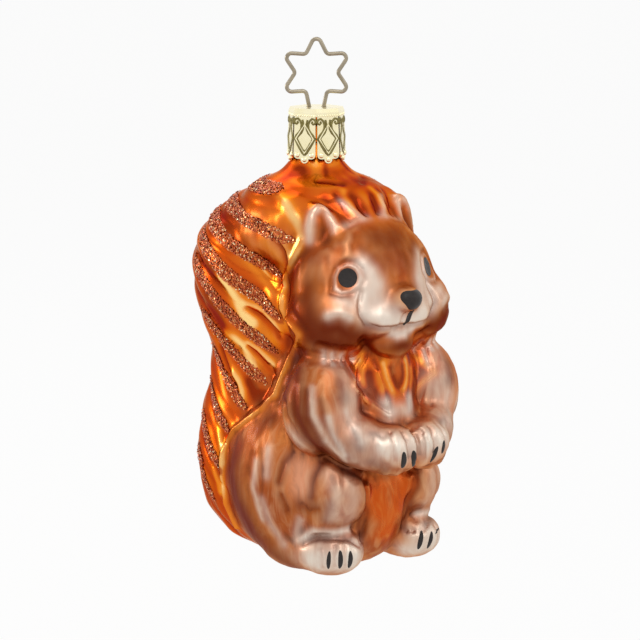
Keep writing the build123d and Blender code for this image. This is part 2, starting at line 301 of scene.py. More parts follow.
neck = turned_shape(NECK_FOOT, 64)
bmesh.ops.remove_doubles(neck, verts=neck.verts, dist=SAME_PLACE)
bmesh.ops.recalc_face_normals(neck, faces=neck.faces)
neck.to_mesh(lump_data)
clay.from_mesh(lump_data)
clay_data = bpy.data.meshes.new("clay")
clay.to_mesh(clay_data)
body = bpy.data.objects.new("clay", clay_data)
bpy.context.scene.collection.objects.link(body)
melt = body.modifiers.new("melt", "REMESH")
melt.mode = "VOXEL"
melt.voxel_size = GRAIN
skin_data = bpy.data.meshes.new_from_object(body.evaluated_get(bpy.context.evaluated_depsgraph_get()))
bpy.data.objects.remove(body)
skin = bmesh.new()
skin.from_mesh(skin_data)
bmesh.ops.bisect_plane(skin, geom=skin.verts[:] + skin.edges[:] + skin.faces[:], dist=1e-5,
                       plane_co=(0, 0, NECK_CUT), plane_no=(0, 0, 1), clear_outer=True)
skin.to_mesh(skin_data)
print("one skin of", len(skin_data.vertices), "points")

# %% [markdown]
# Glass can't follow a sharp inner corner of its mould, so the creases between the masses are
# filled and the ridges kept. Twelve passes move a point towards the mean of its neighbours, but
# only where that is outwards, and four more smooth both ways. The points are one numpy array,
# so that a pass takes a moment.

# %% Soft creases
CREASE_SWEEPS, FILLING_SWEEPS, CREASE_STEP = 16, 12, 0.8


def read_skin():
    """The skin's points, the two ends of each edge, and each point's number of neighbours."""
    found = np.empty(len(skin_data.vertices) * 3)
    skin_data.vertices.foreach_get("co", found)
    pairs = np.empty(len(skin_data.edges) * 2, int)
    skin_data.edges.foreach_get("vertices", pairs)
    return found.reshape(-1, 3), pairs.reshape(-1, 2), np.bincount(pairs, minlength=len(found) // 3)


points, ends, neighbours = read_skin()


def neighbour_mean(values):
    """The mean over each point's neighbours of an array with a row for each point."""
    values = values.reshape(len(values), -1)
    total = np.stack([np.bincount(ends[:, 0], column[ends[:, 1]], len(values))
                      + np.bincount(ends[:, 1], column[ends[:, 0]], len(values)) for column in values.T], 1)
    return total / neighbours[:, None]


def outward():
    """The unit normal at each point of the skin as it is now."""
    skin_data.vertices.foreach_set("co", points.ravel())
    skin_data.update()
    normals = np.empty(len(points) * 3)
    skin_data.vertex_normals.foreach_get("vector", normals)
    return normals.reshape(-1, 3)


def drift_to_mean():
    """From each point to the mean of its neighbours. The neck's cut edge holds still."""
    drift = neighbour_mean(points) - points
    drift[points[:, 2] > NECK_CUT - 0.01] = 0
    return drift


def only_outward(drift, normals):
    """The part of a movement that goes out along the normals, so that it can only fill."""
    return normals * np.clip((drift * normals).sum(1), 0, None)[:, None]


for sweep in range(CREASE_SWEEPS):
    drift = drift_to_mean()
    if sweep < FILLING_SWEEPS:
        drift = only_outward(drift, outward())
    points += CREASE_STEP * drift
normals = outward()
print("creases filled over", len(points), "points")

# %% [markdown]
# The modelling on the mould was cut by hand, so it is drawn here as strokes. Each stroke is a
# line over the photograph, in its pixels, that is cast onto the skin from the camera. The
# figure is taken to be alike on both sides, so a stroke on one side is cut on the other too,
# apart from the collar's, which are cut where they are drawn.

# %% Casting a line of the photograph onto the skin
TRACE_STEP = 1.5


def skin_tree():
    """The skin as it is now, for casting rays at it."""
    faces = [tuple(face.vertices) for face in skin_data.polygons]
    return BVHTree.FromPolygons([Vector(place) for place in points], faces)


def cast(tree, x, y):
    """The point of the skin seen at a pixel of the photograph, and its normal."""
    ray = (camera_right * (x - IMAGE_SIZE / 2 - SHIFT_PIXELS[0]) / LENS_PIXELS
           - camera_up * (y - IMAGE_SIZE / 2 - SHIFT_PIXELS[1]) / LENS_PIXELS - camera_back).normalized()
    place, normal, _, _ = tree.ray_cast(camera_place, ray)
    return place, normal


def trace(tree, *pixels, one_side=False):
    """Skin under a line of pixels, folded to the figure's right unless it is one-sided."""
    found = []
    for (x0, y0), (x1, y1) in zip(pixels, pixels[1:] or pixels):
        steps = max(1, round(math.hypot(x1 - x0, y1 - y0) / TRACE_STEP))
        for step in range(steps + 1):
            place, _ = cast(tree, x0 + (x1 - x0) * step / steps, y0 + (y1 - y0) * step / steps)
            if place:
                found.append((place.x if one_side else -abs(place.x), place.y, place.z))
    return np.array(found)


def away_from(trail, reach=5, one_side=False):
    """Each point's distance in mm from the nearest point of a trace, as far as the reach."""
    folded = points.copy()
    if not one_side:
        folded[:, 0] = -np.abs(folded[:, 0])
    close = ((folded > trail.min(0) - reach) & (folded < trail.max(0) + reach)).all(1)
    nearest = np.full(int(close.sum()), float(reach) ** 2)
    for place in trail:
        nearest = np.minimum(nearest, ((folded[close] - place) ** 2).sum(1))
    away = np.full(len(points), float(reach) * 3)
    away[close] = np.where(nearest < reach ** 2, np.sqrt(nearest), reach * 3)
    return away


masses = skin_tree()
print("nose found at", [round(c, 1) for c in cast(masses, 411, 300)[0]])

# %% [markdown]
# The strokes: width and depth in mm, then the line in photograph pixels. A negative depth raises a ridge.
# They are grouped by where they are, and cut in that order. Along the tail's locks and the collar,
# flame-shaped painted highlights and painted shade are also laid, so their lines say that too: the radius in
# mm of the painted flame, and how much brighter or darker it is. A line with no painted flame of its own has
# 0, 0.

# %% Strokes of the modelling
# the seam where the head, arm and haunch meet the tail
SEAM = ((303, 240), (294, 258), (287, 276), (282, 294), (282, 308), (288, 320), (299, 334), (297, 346),
        (290, 360), (283, 375), (276, 394), (264, 408), (250, 418), (236, 429), (227, 441), (223, 457),
        (221.5, 480), (226, 503), (237, 526))
LOCKS = (
    # locks of the tail: ridges, and the grooves between them, painted darker as painted shade
    (1.1, -0.4, 1.1, 0.75, (279, 193), (289, 209), (297, 221), (302, 233), (299, 246), (293, 260)),
    (0.7, -0.35, 0.8, 0.55, (268, 229), (279, 236), (286, 246), (290, 257)),
    (0.5, 0.35, 0.5, -0.6, (256, 223), (266, 229), (276, 240), (284, 251), (288, 262), (287, 271)),
    (0.6, -0.35, 0.6, 0.7, (250, 254), (259, 264), (268, 275), (276, 284)),
    (0.5, 0.35, 0.5, -0.6, (255, 266), (267, 280), (275, 290)),
    (0.5, 0.25, 0.6, -0.6, (254, 254), (267, 268), (272, 276)),
    (1.1, -0.4, 1.3, 1.1, (221, 277), (231, 292), (238, 304), (244, 314), (251, 322)),
    (0.7, -0.35, 0.8, 0.6, (243, 304), (256, 308), (265, 315), (273, 323), (280, 335)),
    (0.5, 0.4, 0.55, -0.7, (244, 309), (256, 313.5), (266, 321), (273, 329), (278, 338)),
    (1.0, -0.4, 0, 0, (225, 333), (235, 340), (243, 347), (248, 358), (252, 367)),
    (0.6, -0.3, 0.7, 0.6, (249, 343), (258, 349), (266, 357), (273, 365)),
    (0.5, 0.4, 0.55, -0.7, (248, 347), (256, 354), (264, 363), (270, 370), (275, 377)),
    (0.9, -0.35, 1.0, 0.8, (234, 374), (239, 381), (242, 390), (241, 401)),
    (0.6, 0.35, 0.7, -0.5, (221, 348), (228, 369), (235, 386)),
    (1.3, 0.35, 0, 0, (246, 385), (252, 396), (262, 400)),
    (0.7, -0.3, 0.8, 0.75, (216, 418), (220, 440), (224, 462)),
    (0.7, -0.3, 0.8, 0.6, (207, 448), (213, 470), (220, 492)),
    # grooves of the mane below the neck, painted darker as painted shade
    (0.7, 0.35, 0.8, -0.7, (321, 181), (331, 182), (342, 184)),
    (0.7, 0.2, 0.7, -0.7, (325, 196), (337, 211), (345, 225)),
    (0.6, 0.18, 0.7, -0.6, (336, 194), (343, 205), (347, 216)),
    (1.1, 0.22, 1.2, -0.7, (353, 196), (358, 202), (363, 208)),
    (0.6, 0.3, 0.7, -0.6, (373, 198), (377, 206), (378, 213)),
)
STROKES = (
    # the seam is a raised line with a groove on each side
    (0.6, -0.65, *SEAM), (0.8, 0.35, (290, 286), (287, 300), (292, 314), (305, 330)),
    (0.8, 0.35, (302, 350), (294, 366), (286, 384), (278, 402)),
    (0.8, 0.3, (272, 366), (268, 386), (258, 402), (242, 414)),
    *((wide, deep, *pixels) for wide, deep, _, _, *pixels in LOCKS),
    # ridges of the mane
    (0.7, -0.25, (382, 193), (384, 205), (384, 216)), (0.7, -0.25, (396, 193), (399, 206), (400, 219)),
    (0.6, 0.3, (390, 196), (392, 215)),
    (0.8, -0.3, (343, 228), (353, 223), (364, 220), (376, 219), (388, 221), (402, 225), (414, 235),
     (423, 247)),
    # near ear: hollow and rim
    (1.5, 0.45, (322, 220), (324, 231), (324, 240)),
    (0.8, -0.3, (309, 243), (309, 226), (311, 213), (318, 206), (326, 209), (331, 219), (334, 232)),
    # eye sockets, and lids: the rim and the groove outside it
    (3.4, 0.8, (348, 278)),
    (0.45, 0.35, (331, 292), (332, 280), (336, 269), (345, 261.5), (355, 262), (363, 269),
     (365.5, 280), (361, 289), (352, 293.5), (341, 295), (331, 292)),
    (0.55, -0.4, (336.5, 286.5), (336, 277), (340, 269), (348, 265.5), (356, 268), (360, 276),
     (359, 285), (352, 290), (343, 291), (336.5, 286.5)),
    # upper muzzle from the cheek round to the mouth
    (0.55, 0.5, (362, 292), (360, 304), (361, 315), (368, 325), (380, 329), (393, 328.5), (404, 326)),
    (0.45, 0.25, (411, 311), (409, 318), (405, 327)),
    # under the lip and the chin
    (0.8, 0.5, (362, 340), (368, 350), (376, 357), (386, 360)),
    # cheek tufts
    (0.9, 0.5, (320, 346), (330, 350), (344, 352), (354, 352), (364, 344)),
    (0.45, 0.3, (326, 346), (325, 357)), (0.45, 0.3, (334, 347), (334, 359)),
    (0.45, 0.3, (343, 348), (343, 360)), (0.45, 0.3, (350, 348), (350, 358)),
    (0.8, 0.3, (325, 325), (336, 321), (346, 322), (352, 328)),
    (0.8, -0.25, (327, 316), (338, 312), (350, 317)),
    # arm: long folds from the shoulder to the wrist
    (0.7, 0.45, (284, 402), (286, 417), (295, 432), (311, 447), (326, 457), (343, 467), (366, 478)),
    (0.8, 0.18, (295, 390), (295, 418), (310, 444), (330, 457)),
    (0.8, 0.18, (306, 391), (308, 418), (325, 448), (343, 463)),
    (0.7, -0.15, (301, 384), (300, 405), (306, 425), (319, 445), (334, 458)),
    (0.7, -0.15, (312, 388), (313, 414), (326, 440), (345, 462)),
    (0.7, 0.15, (318, 396), (322, 420), (334, 443), (348, 458)),
    (0.7, -0.12, (322, 399), (329, 418), (334, 436), (345, 455)),
    (0.6, 0.2, (340, 400), (346, 420), (356, 440)), (0.8, 0.3, (370, 434), (376, 432), (382, 436)),
    # wrist and fingers
    (0.7, 0.35, (374, 440), (374, 452), (382, 463), (395, 471), (412, 471)),
    (0.45, 0.4, (390, 432), (394, 443), (396, 460)), (0.45, 0.4, (402, 431), (408, 441), (410, 457)),
    (0.45, 0.4, (410, 429), (417, 439), (420, 455)), (0.5, 0.35, (416, 427), (424, 440), (425, 458)),
    # haunch tufts and the fold over the foot
    (0.55, 0.22, (293, 453), (284, 464), (279, 480)),
    (0.55, 0.22, (322, 462), (316, 474), (312, 487), (312, 497)), (0.5, 0.35, (281, 495), (287, 510)),
    (0.5, 0.35, (302, 504), (309, 511), (318, 510)), (0.7, 0.15, (252, 455), (247, 485), (256, 520)),
    (0.7, 0.15, (263, 470), (261, 500), (270, 528), (284, 548)),
    (0.7, -0.15, (258, 460), (254, 490), (264, 522), (280, 545)),
    (0.7, 0.2, (272, 500), (280, 528), (296, 548)), (0.7, 0.2, (332, 478), (328, 495), (330, 515)),
    (0.7, 0.2, (344, 482), (346, 498), (342, 515)), (0.7, -0.2, (338, 480), (338, 512)),
    (0.6, 0.5, (366, 478), (368, 492), (368, 510), (365, 527), (361, 542)),
    (0.7, 0.5, (303, 543), (312, 538), (322, 537), (336, 538), (350, 539), (360, 545)),
    (0.7, -0.35, (300, 541), (312, 532), (322, 531), (334, 533), (348, 531)),
    # toes
    (0.45, 0.3, (335, 546), (335, 566)), (0.45, 0.3, (345.5, 546), (345.5, 566)),
    (0.45, 0.3, (321, 550), (322, 568)),
    # middle line of the belly
    (0.6, 0.3, (417, 472), (411, 500), (404, 526)),
)
COLLAR = (
    # the collar falls differently on its two sides, so these are cut where they are drawn alone
    (0.55, -0.3, 0, 0, (363, 355), (354.5, 371), (354.5, 387), (366, 401), (378, 409), (388, 416)),
    (0.45, 0.3, 0.7, -0.7, (366, 356), (358.5, 369), (358, 383), (366, 394), (381, 406.5), (389, 412)),
    (0.6, 0.2, 0.9, -0.8, (369, 374), (370, 386), (376, 397)),
    (0.6, -0.25, 0, 0, (378, 372), (383, 388), (387, 404)),
    (0.45, 0.3, 0.6, -0.7, (375, 361), (381, 373), (386, 389), (390, 408)),
    (0.6, 0.3, 0, 0, (390, 368), (393, 378), (398, 386), (403, 392)),
    (0.45, 0.25, 0, 0, (427.5, 366), (426.5, 381), (420.5, 399), (419.5, 412)),
    (0.5, 0.3, 0, 0, (420, 341), (426, 350), (431, 366), (433, 383), (431, 405)),
)
SEAM_WIDE, SEAM_SWEEPS, SEAM_STEP = 2.0, 60, 0.9
FINE_STROKE, FINE_REACH = 0.65, 0.7
traced = [(wide, deep, trace(masses, *pixels), False) for wide, deep, *pixels in STROKES]
traced += [(wide, deep, trace(masses, *pixels, one_side=True), True)
           for wide, deep, _, _, *pixels in COLLAR]
traced = [stroke for stroke in traced if len(stroke[2])]

# the seam's own trace is the first, and the deep crease under it is filled before it is cut
seam = np.exp(-(away_from(traced[0][2], 3 * SEAM_WIDE) / SEAM_WIDE) ** 2)[:, None]
for sweep in range(SEAM_SWEEPS):
    if sweep % 10 == 0:
        normals = outward()
    points += SEAM_STEP * seam * only_outward(drift_to_mean(), normals)

# the faces beside thin strokes are divided once
fine = np.full(len(points), False)
for wide, deep, trail, one_side in traced:
    if wide < FINE_STROKE:
        fine |= away_from(trail, 3, one_side) < FINE_REACH
skin_data.vertices.foreach_set("co", points.ravel())
skin = bmesh.new()
skin.from_mesh(skin_data)
skin.verts.ensure_lookup_table()
between = [edge for edge in skin.edges if fine[edge.verts[0].index] and fine[edge.verts[1].index]]
bmesh.ops.subdivide_edges(skin, cuts=1, use_grid_fill=True, edges=between)
skin.to_mesh(skin_data)
skin.free()
points, ends, neighbours = read_skin()
for sweep in range(2):
    points += 0.5 * drift_to_mean()
normals = outward()
print(len(traced), "strokes, and a skin of", len(points), "points")

# %% [markdown]
# Where each mass shows matters for the fur and the colour. A point belongs to the mass whose
# surface passes closest to it, with a soft border, so tail, mane and body each get a weight.

# %% Which part of the figure a point is on
SOFT_BORDER = 0.35
NAPE_SET_BACK = 0.3
TOP_OF_HEAD, TOP_BORDER = 64, 5


def near_egg(*names):
    """Each point's distance in mm from the nearest surface of the named eggs."""
    best = np.full(len(points), 1e9)
    for name, place in eggs:
        if name in names:
            inner = np.array(place.inverted())
            local = points @ inner[:3, :3].T + inner[:3, 3]
            size = abs(np.linalg.det(np.array(place)[:3, :3])) ** (1 / 3)
            best = np.minimum(best, np.abs(np.linalg.norm(local, axis=1) - 1) * size)
    return best


half_wide, half_deep, behind = tail_section(points[:, 2] / TAIL_HIGH)
tail_gap = np.abs(np.hypot(points[:, 0] / half_wide, (points[:, 1] - behind) / half_deep) - 1) * half_wide
tail_gap = np.minimum(tail_gap, near_egg("nape") + NAPE_SET_BACK)
body_gap = near_egg(*[name for name, place in eggs if name not in ("mane", "nape", "crest")])
mane_gap = near_egg("mane", "crest")
gaps = np.minimum((tail_gap, mane_gap, body_gap), 9)
closeness = np.exp(-gaps / SOFT_BORDER)
on_tail, on_mane, on_body = closeness / closeness.sum(0)

# above the head all is tail and neck, and takes the tail's lacquer
above = np.clip((points[:, 2] - TOP_OF_HEAD) / TOP_BORDER, 0, 1)
on_tail = on_tail + (1 - on_tail) * above
on_mane = on_mane * (1 - above)
on_body = on_body * (1 - above)
print("share on the tail", round(float(on_tail.mean()), 2), "mane", round(float(on_mane.mean()), 2))

# %% [markdown]
# The tail's locks sweep up and back, and the glitter was laid along them. The same ten lines
# serve for both. Between two lines a lock swells and then falls to a crease, with a smaller
# lock inside it, and slow noise bends them, because no two locks are ever cut alike.

# %% Locks of the tail
# Each line's upper end in mm behind the neck axis and above the underside, the pixel of its
# lower end, and the width of the glitter
STRIPE_ENDS = (
    (11.3, 70.5, (281, 190), 2.0),
    (16.6, 67.3, (296, 241), 2.6),
    (18.8, 64.8, (283, 276), 2.4),
    (19.1, 61.2, (280, 318), 2.5),
    (19.5, 56.2, (278, 353), 2.4),
    (17.7, 46.5, (266, 384), 2.1),
    (16.3, 39.4, (244, 410), 2.0),
    (17.7, 32.9, (229, 433), 2.0),
    (18.4, 26.5, (221, 470), 2.0),
    (19.1, 20.0, (215, 501), 1.9),
)
STRIPES = [(behind, rise, *cast(masses, *pixel)[0].yz, wide) for behind, rise, pixel, wide in STRIPE_ENDS]
LEAST_APART, NARROWEST, BEYOND_ENDS = 1.2, 0.2, 5
LOCK_HEIGHT, LOCK_MIDDLE = 1.1, 0.65
LOCKS_END, LOCKS_FADE = 72, 3
WANDER, WANDER_LONG, FINE_WANDER_LONG = 3, 9, 3.2


def below_neck():
    """1 on the figure, fading to 0 where the locks run out below the neck."""
    return np.clip((LOCKS_END - points[:, 2]) / LOCKS_FADE, 0, 1)


def lock_phase(behind, rise):
    """How many lines lie above each place on the side of the tail, with a fraction between."""
    above_by = []
    for upper, upper_rise, lower, lower_rise, _ in STRIPES:
        along = np.array((upper - lower, upper_rise - lower_rise))
        along = along / np.linalg.norm(along)
        above_by.append((rise - lower_rise) * along[0] - (behind - lower) * along[1])
    apart = LEAST_APART * np.arange(len(STRIPES))[:, None]
    above_by = np.maximum.accumulate(np.array(above_by) + apart, axis=0)
    phase = np.zeros(len(rise))
    for upper, lower in zip(above_by, above_by[1:]):
        phase += np.clip(-upper / np.maximum(lower - upper, NARROWEST), 0, 1)
    return phase + np.clip(-above_by[-1] / BEYOND_ENDS, 0, 2) - np.clip(above_by[0] / BEYOND_ENDS, 0, 2)


wander = np.array([noise.noise(Vector(p) / WANDER_LONG) for p in points])
fine_wander = np.array([noise.noise(Vector((p[0], p[1], p[2] * 0.7)) / FINE_WANDER_LONG)
                        for p in points])
phase = lock_phase(points[:, 1] + WANDER * wander, points[:, 2] + WANDER * wander)
big_lock = np.abs(np.sin(math.pi * phase)) ** 0.7
small_lock = np.abs(np.sin(math.pi * (2.0 * phase + 0.9 * wander + 0.25))) ** 0.8
locks = 0.55 * big_lock + 0.16 * small_lock + 0.05 * fine_wander
lock_height = on_tail * (locks - LOCK_MIDDLE) * below_neck()
points += normals * (LOCK_HEIGHT * lock_height)[:, None]
print("locks stand", round(float(LOCK_HEIGHT * np.ptp(lock_height)), 2), "mm from crease to crown")

# %% [markdown]
# Now the marks are cut into the locks: each point moves in or out along its normal, by an amount
# that dies away from the stroke. A fine fur of soft waves goes over the body, and one light
# sweep of smoothing takes off the tool marks, as the mould's own polish does.

# %% Cutting the strokes
FUR_HIGH, FUR_ACROSS, FUR_ALONG = 0.1, 0.9, 0.28
POLISH = 0.3
for wide, deep, trail, one_side in traced:
    away = away_from(trail, max(3, 2.5 * wide), one_side)
    points -= normals * (deep * np.exp(-(away / wide) ** 2))[:, None]
fur = np.array([noise.noise(Vector((p[0] * FUR_ACROSS, p[1] * FUR_ACROSS, p[2] * FUR_ALONG)))
                for p in points])
points += normals * (FUR_HIGH * fur * (on_body + on_mane))[:, None]
points += POLISH * drift_to_mean()
depths = [stroke[1] for stroke in traced]
print("strokes cut from", min(depths), "to", max(depths), "mm deep")

# %% [markdown]
# The lacquers were sprayed and wiped, and light is painted over them: the creases get a painted shade and
# the high places a painted highlight, and the pearl is stronger on the high places as a painted highlight
# too. The height of a point over the mean of the points around it says which it is, and soft spots cast from
# the photograph say where each lacquer was sprayed and where shade is painted.

# %% Where the lacquers and the painted light lie
RELIEF_SWEEPS = 14
BODY_RELIEF, MORE_ON_TAIL = 0.35, 0.3
smooth = points.copy()
for sweep in range(RELIEF_SWEEPS):
    smooth = neighbour_mean(smooth)
normals = outward()
stands_out = ((points - smooth) * normals).sum(1) / (BODY_RELIEF + MORE_ON_TAIL * on_tail)
relief = np.clip(stands_out, -1, 1) * below_neck()

# each spot: radius in mm, strength, pixels
PEARL_SPOTS = (
    # ear, lids
    (0.9, 0.6, (309, 240), (309, 226), (312, 213), (318, 209)),
    (0.6, 0.4, (327, 211), (331, 219), (334, 232)),
    (0.4, 0.85, (335, 288), (334.5, 277), (339, 267.5), (348, 263.5), (357.5, 267), (361.5, 276),
     (360, 286), (352.5, 291.5), (342, 292), (335, 288)),
    # brow to muzzle, lip, cheek
    (1.6, 0.9, (362, 264), (370, 272), (376, 284)), (2.4, 0.95, (372, 294), (378, 306), (388, 316)),
    (1.5, 0.9, (365, 300), (366, 314)), (1.5, 1.0, (396, 320), (402, 322)),
    (1.8, 1.0, (414, 318), (424, 312), (430, 300)), (1.2, 0.9, (426, 272), (430, 286)),
    (0.8, 0.95, (391, 333), (397, 335), (406, 332)), (1.6, 0.6, (342, 300), (350, 304)),
    (1.0, 0.6, (329, 316), (340, 312), (350, 318)),
    # tufts, collar
    (0.6, 0.8, (324, 353), (324, 362)), (0.6, 0.8, (333, 355), (333, 364)),
    (0.6, 0.8, (342, 356), (342, 364)), (0.6, 0.7, (352, 354), (352, 360)),
    (1.2, 0.8, (386, 402), (390, 412)), (1.5, 0.5, (400, 410), (410, 410)),
    (0.5, 0.7, (424, 350), (429, 366)),
    # arm, paw and far arm
    (0.7, 0.5, (312, 388), (313, 414), (326, 440), (344, 461)),
    (0.7, 0.55, (329, 418), (334, 436), (345, 455)), (0.7, 0.5, (346, 412), (352, 428), (362, 442)),
    (1.8, 0.25, (352, 460), (362, 466)), (1.8, 0.25, (330, 362), (345, 372)),
    (1.3, 0.7, (379, 440), (382, 452)), (3.0, 0.95, (394, 446), (404, 446), (416, 444)),
    (3.4, 0.5, (438, 384), (446, 400), (450, 420)),
    # haunch, knee, feet
    (1.8, 0.45, (290, 434), (298, 444)), (0.9, 0.4, (262, 500), (270, 524), (284, 544)),
    (0.8, 0.5, (256, 462), (253, 488), (262, 518)), (1.6, 0.4, (330, 474), (336, 495), (334, 518)),
    (1.8, 0.35, (350, 480), (354, 500), (350, 520)), (2.4, 0.3, (300, 468), (300, 486)),
    (0.9, 0.5, (300, 520), (296, 540)), (0.8, 0.9, (302, 539), (314, 531), (333, 533), (348, 529)),
    (3.4, 1.0, (312, 562), (330, 562), (350, 560)), (1.0, 0.5, (268, 450), (266, 475)),
    (2.4, 0.8, (408, 552), (420, 550), (431, 546)), (1.4, 0.6, (414, 532), (427, 528)),
    # mane below the neck
    (0.7, 0.5, (382, 195), (384, 205), (384, 216)), (0.7, 0.6, (396, 195), (399, 206), (401, 218)),
    (0.8, 0.35, (344, 227), (356, 221), (368, 218)),
)
# dark lacquer, and painted shade on the shaded sides, under the cheek and chin and in the creases
DARK_LACQUER_AND_SHADE_SPOTS = (
    # head against the tail, cheek, forehead, chin
    (3.4, 1.0, (298, 262), (292, 280), (290, 300), (300, 320), (312, 336)),
    (2.6, 0.85, (306, 290), (308, 320)),
    (0.55, 1.0, (362, 294), (360, 304), (361, 315), (368, 325.5), (380, 329.5), (393, 329), (403, 327)),
    (2.3, 1.0, (325, 330), (338, 328), (352, 338)), (2.3, 1.0, (326, 342), (346, 345), (362, 338)),
    (3.4, 0.75, (378, 238), (394, 244), (402, 256)),
    (2.0, 1.0, (368, 346), (376, 351), (388, 352), (402, 346)), (1.4, 0.7, (322, 222), (325, 238)),
    (1.4, 0.5, (362, 250), (372, 256)),
    # arm
    (3.0, 1.0, (302, 350), (290, 372), (284, 396)),
    (2.2, 1.0, (297, 370), (295, 390), (297, 414), (308, 438), (322, 452)),
    (0.8, 0.7, (306, 391), (307, 418), (324, 449), (342, 463)),
    (0.8, 0.6, (320, 400), (325, 425), (340, 448)), (1.4, 0.6, (340, 384), (346, 398)),
    (1.4, 0.7, (372, 462), (385, 470)), (0.9, 0.7, (356, 430), (360, 448)),
    (1.0, 0.7, (371, 434), (380, 434)), (2.6, 0.5, (356, 446), (352, 458)),
    (0.35, 0.9, (331, 294), (330.5, 280), (335, 267), (346, 259.5), (357, 260.5), (365, 269), (367, 281)),
    (0.3, 0.5, (337.5, 283), (338, 275), (343, 268.5), (351, 267), (357.5, 273), (358, 281),
     (353, 288), (344, 289)),
    # haunch
    (4.2, 1.0, (238, 446), (230, 470), (236, 500), (250, 530)), (2.0, 0.8, (258, 430), (272, 418)),
    (1.0, 0.8, (293, 453), (284, 464), (279, 482)), (1.0, 0.8, (321, 462), (314, 478), (311, 497)),
    (1.8, 0.7, (300, 505), (314, 508)), (1.0, 0.6, (281, 495), (287, 510)),
    (1.2, 0.6, (330, 505), (326, 520)), (2.6, 0.75, (262, 545), (284, 562), (304, 572)),
    (0.8, 0.9, (367, 484), (368, 514), (362, 541)), (0.9, 0.9, (308, 540), (330, 539), (352, 540)),
    (1.4, 0.7, (346, 470), (362, 474)), (0.8, 0.85, (417, 472), (411, 500), (404, 526)),
    (2.0, 0.4, (440, 350), (452, 380)), (1.6, 0.6, (418, 346), (421, 368)),
)
AMBER_SPOTS = (
    # collar, belly, the seam, mane
    (3.8, 1.0, (414, 350), (412, 372), (410, 388)), (1.8, 1.0, (386, 362), (390, 378), (396, 392)),
    (1.0, 1.0, (363, 362), (361, 376), (364, 386)), (0.8, 1.0, (380, 374), (384, 388)),
    (1.0, 0.9, (360, 358), (354, 372), (355, 388), (366, 401)),
    (2.4, 1.0, (404, 484), (396, 508), (384, 532)), (1.8, 0.8, (384, 486), (380, 510)), (0.9, 1.0, *SEAM),
    (4.5, 1.0, (335, 188), (350, 196), (372, 200)), (3.0, 0.8, (296, 200), (300, 190)),
)
GLOW_SPOTS = (
    # cheek, arm, haunch
    (2.4, 0.8, (322, 304), (328, 314)), (2.8, 0.5, (326, 396), (330, 412)),
    (3.6, 1.0, (300, 462), (300, 486)), (2.0, 0.8, (316, 350), (330, 366)),
    (2.2, 0.6, (348, 414), (346, 430)), (1.5, 0.7, (326, 360), (345, 358)),
    (2.4, 0.5, (384, 344), (374, 340)), (2.2, 0.5, (268, 436), (276, 430)),
)
FLAMES = (
    # painted highlights, and painted shade where the strength is negative: along the locks and the collar,
    # then the seam and the places between them
    *((radius, brighter, *pixels) for _, _, radius, brighter, *pixels in LOCKS + COLLAR if radius),
    (0.8, 0.9, *SEAM), (1.2, 0.3, (262, 238), (274, 252), (281, 264)),
    (1.1, 0.5, (238, 251), (251, 262), (264, 278), (276, 290)), (0.8, -0.5, (279, 276), (281, 290)),
    (1.2, 0.2, (258, 322), (272, 338)),
    (1.2, 1.0, (227, 334), (235, 340), (243, 347), (248, 358), (252, 367)),
    (1.1, 0.25, (256, 362), (264, 374)), (1.6, -0.7, (250, 384), (256, 396), (268, 398)),
    (2.0, -0.5, (232, 206), (244, 214), (254, 222)), (2.0, -0.5, (215, 226), (230, 238), (243, 246)),
    (1.6, -0.5, (205, 252), (212, 268)), (1.6, -0.5, (208, 296), (220, 320), (226, 332)),
    (1.8, -0.6, (250, 184), (262, 190), (280, 198)), (1.6, -0.5, (290, 322), (294, 334), (288, 352)),
    (1.4, -0.5, (286, 178), (298, 172)), (1.4, -0.4, (346, 174), (354, 180)),
    (1.2, 0.35, (314, 163), (317, 177)), (0.5, -0.5, (325, 164), (326, 176)),
    (1.4, 0.15, (334, 166), (336, 174)), (1.6, -0.25, (300, 170), (304, 177)),
    (0.8, 0.5, (344, 190), (352, 210)), (0.8, -0.7, (391, 368), (393, 378), (398, 386)),
    (0.8, 0.6, (362, 362), (361, 376), (364, 386)), (1.0, 0.6, (384, 364), (388, 378), (392, 390)),
    (0.8, 0.5, (380, 374), (384, 388)), (0.8, 0.5, (363, 355), (354.5, 371), (354.5, 387), (366, 401)),
    (4.0, 0.12, (410, 356), (412, 380)),
)


def spots(table):
    """For each spot of a table, how much of it reaches each point."""
    for radius, strength, *pixels in table:
        trail = trace(masses, *pixels)
        if len(trail):
            yield strength * np.exp(-(away_from(trail, 2.5 * radius) / radius) ** 2)


def sprayed(table):
    """How much of a lacquer each point took from its soft spots."""
    left_bare = np.ones(len(points))
    for spot in spots(table):
        left_bare *= 1 - spot
    return 1 - left_bare


def keep(name, values):
    """Stores a value for each point, for the material to read."""
    layer = skin_data.attributes.new(name, "FLOAT", "POINT")
    layer.data.foreach_set("value", np.clip(values, 0, 1).astype(np.float32))


# the bed of lacquer under each glitter line
BED_MARGIN, BED_BORDER = 0.1, 0.3
bed = np.zeros(len(points))
for upper, upper_rise, lower, lower_rise, wide in STRIPES:
    start, run = np.array((upper, upper_rise)), np.array((lower - upper, lower_rise - upper_rise))
    share = np.clip((points[:, 1:] - start) @ run / (run @ run), 0, 1)
    gap = np.linalg.norm(points[:, 1:] - start - share[:, None] * run, axis=1)
    bed = np.maximum(bed, np.clip((wide / 2 + BED_MARGIN - gap) / BED_BORDER, 0, 1) * on_tail)
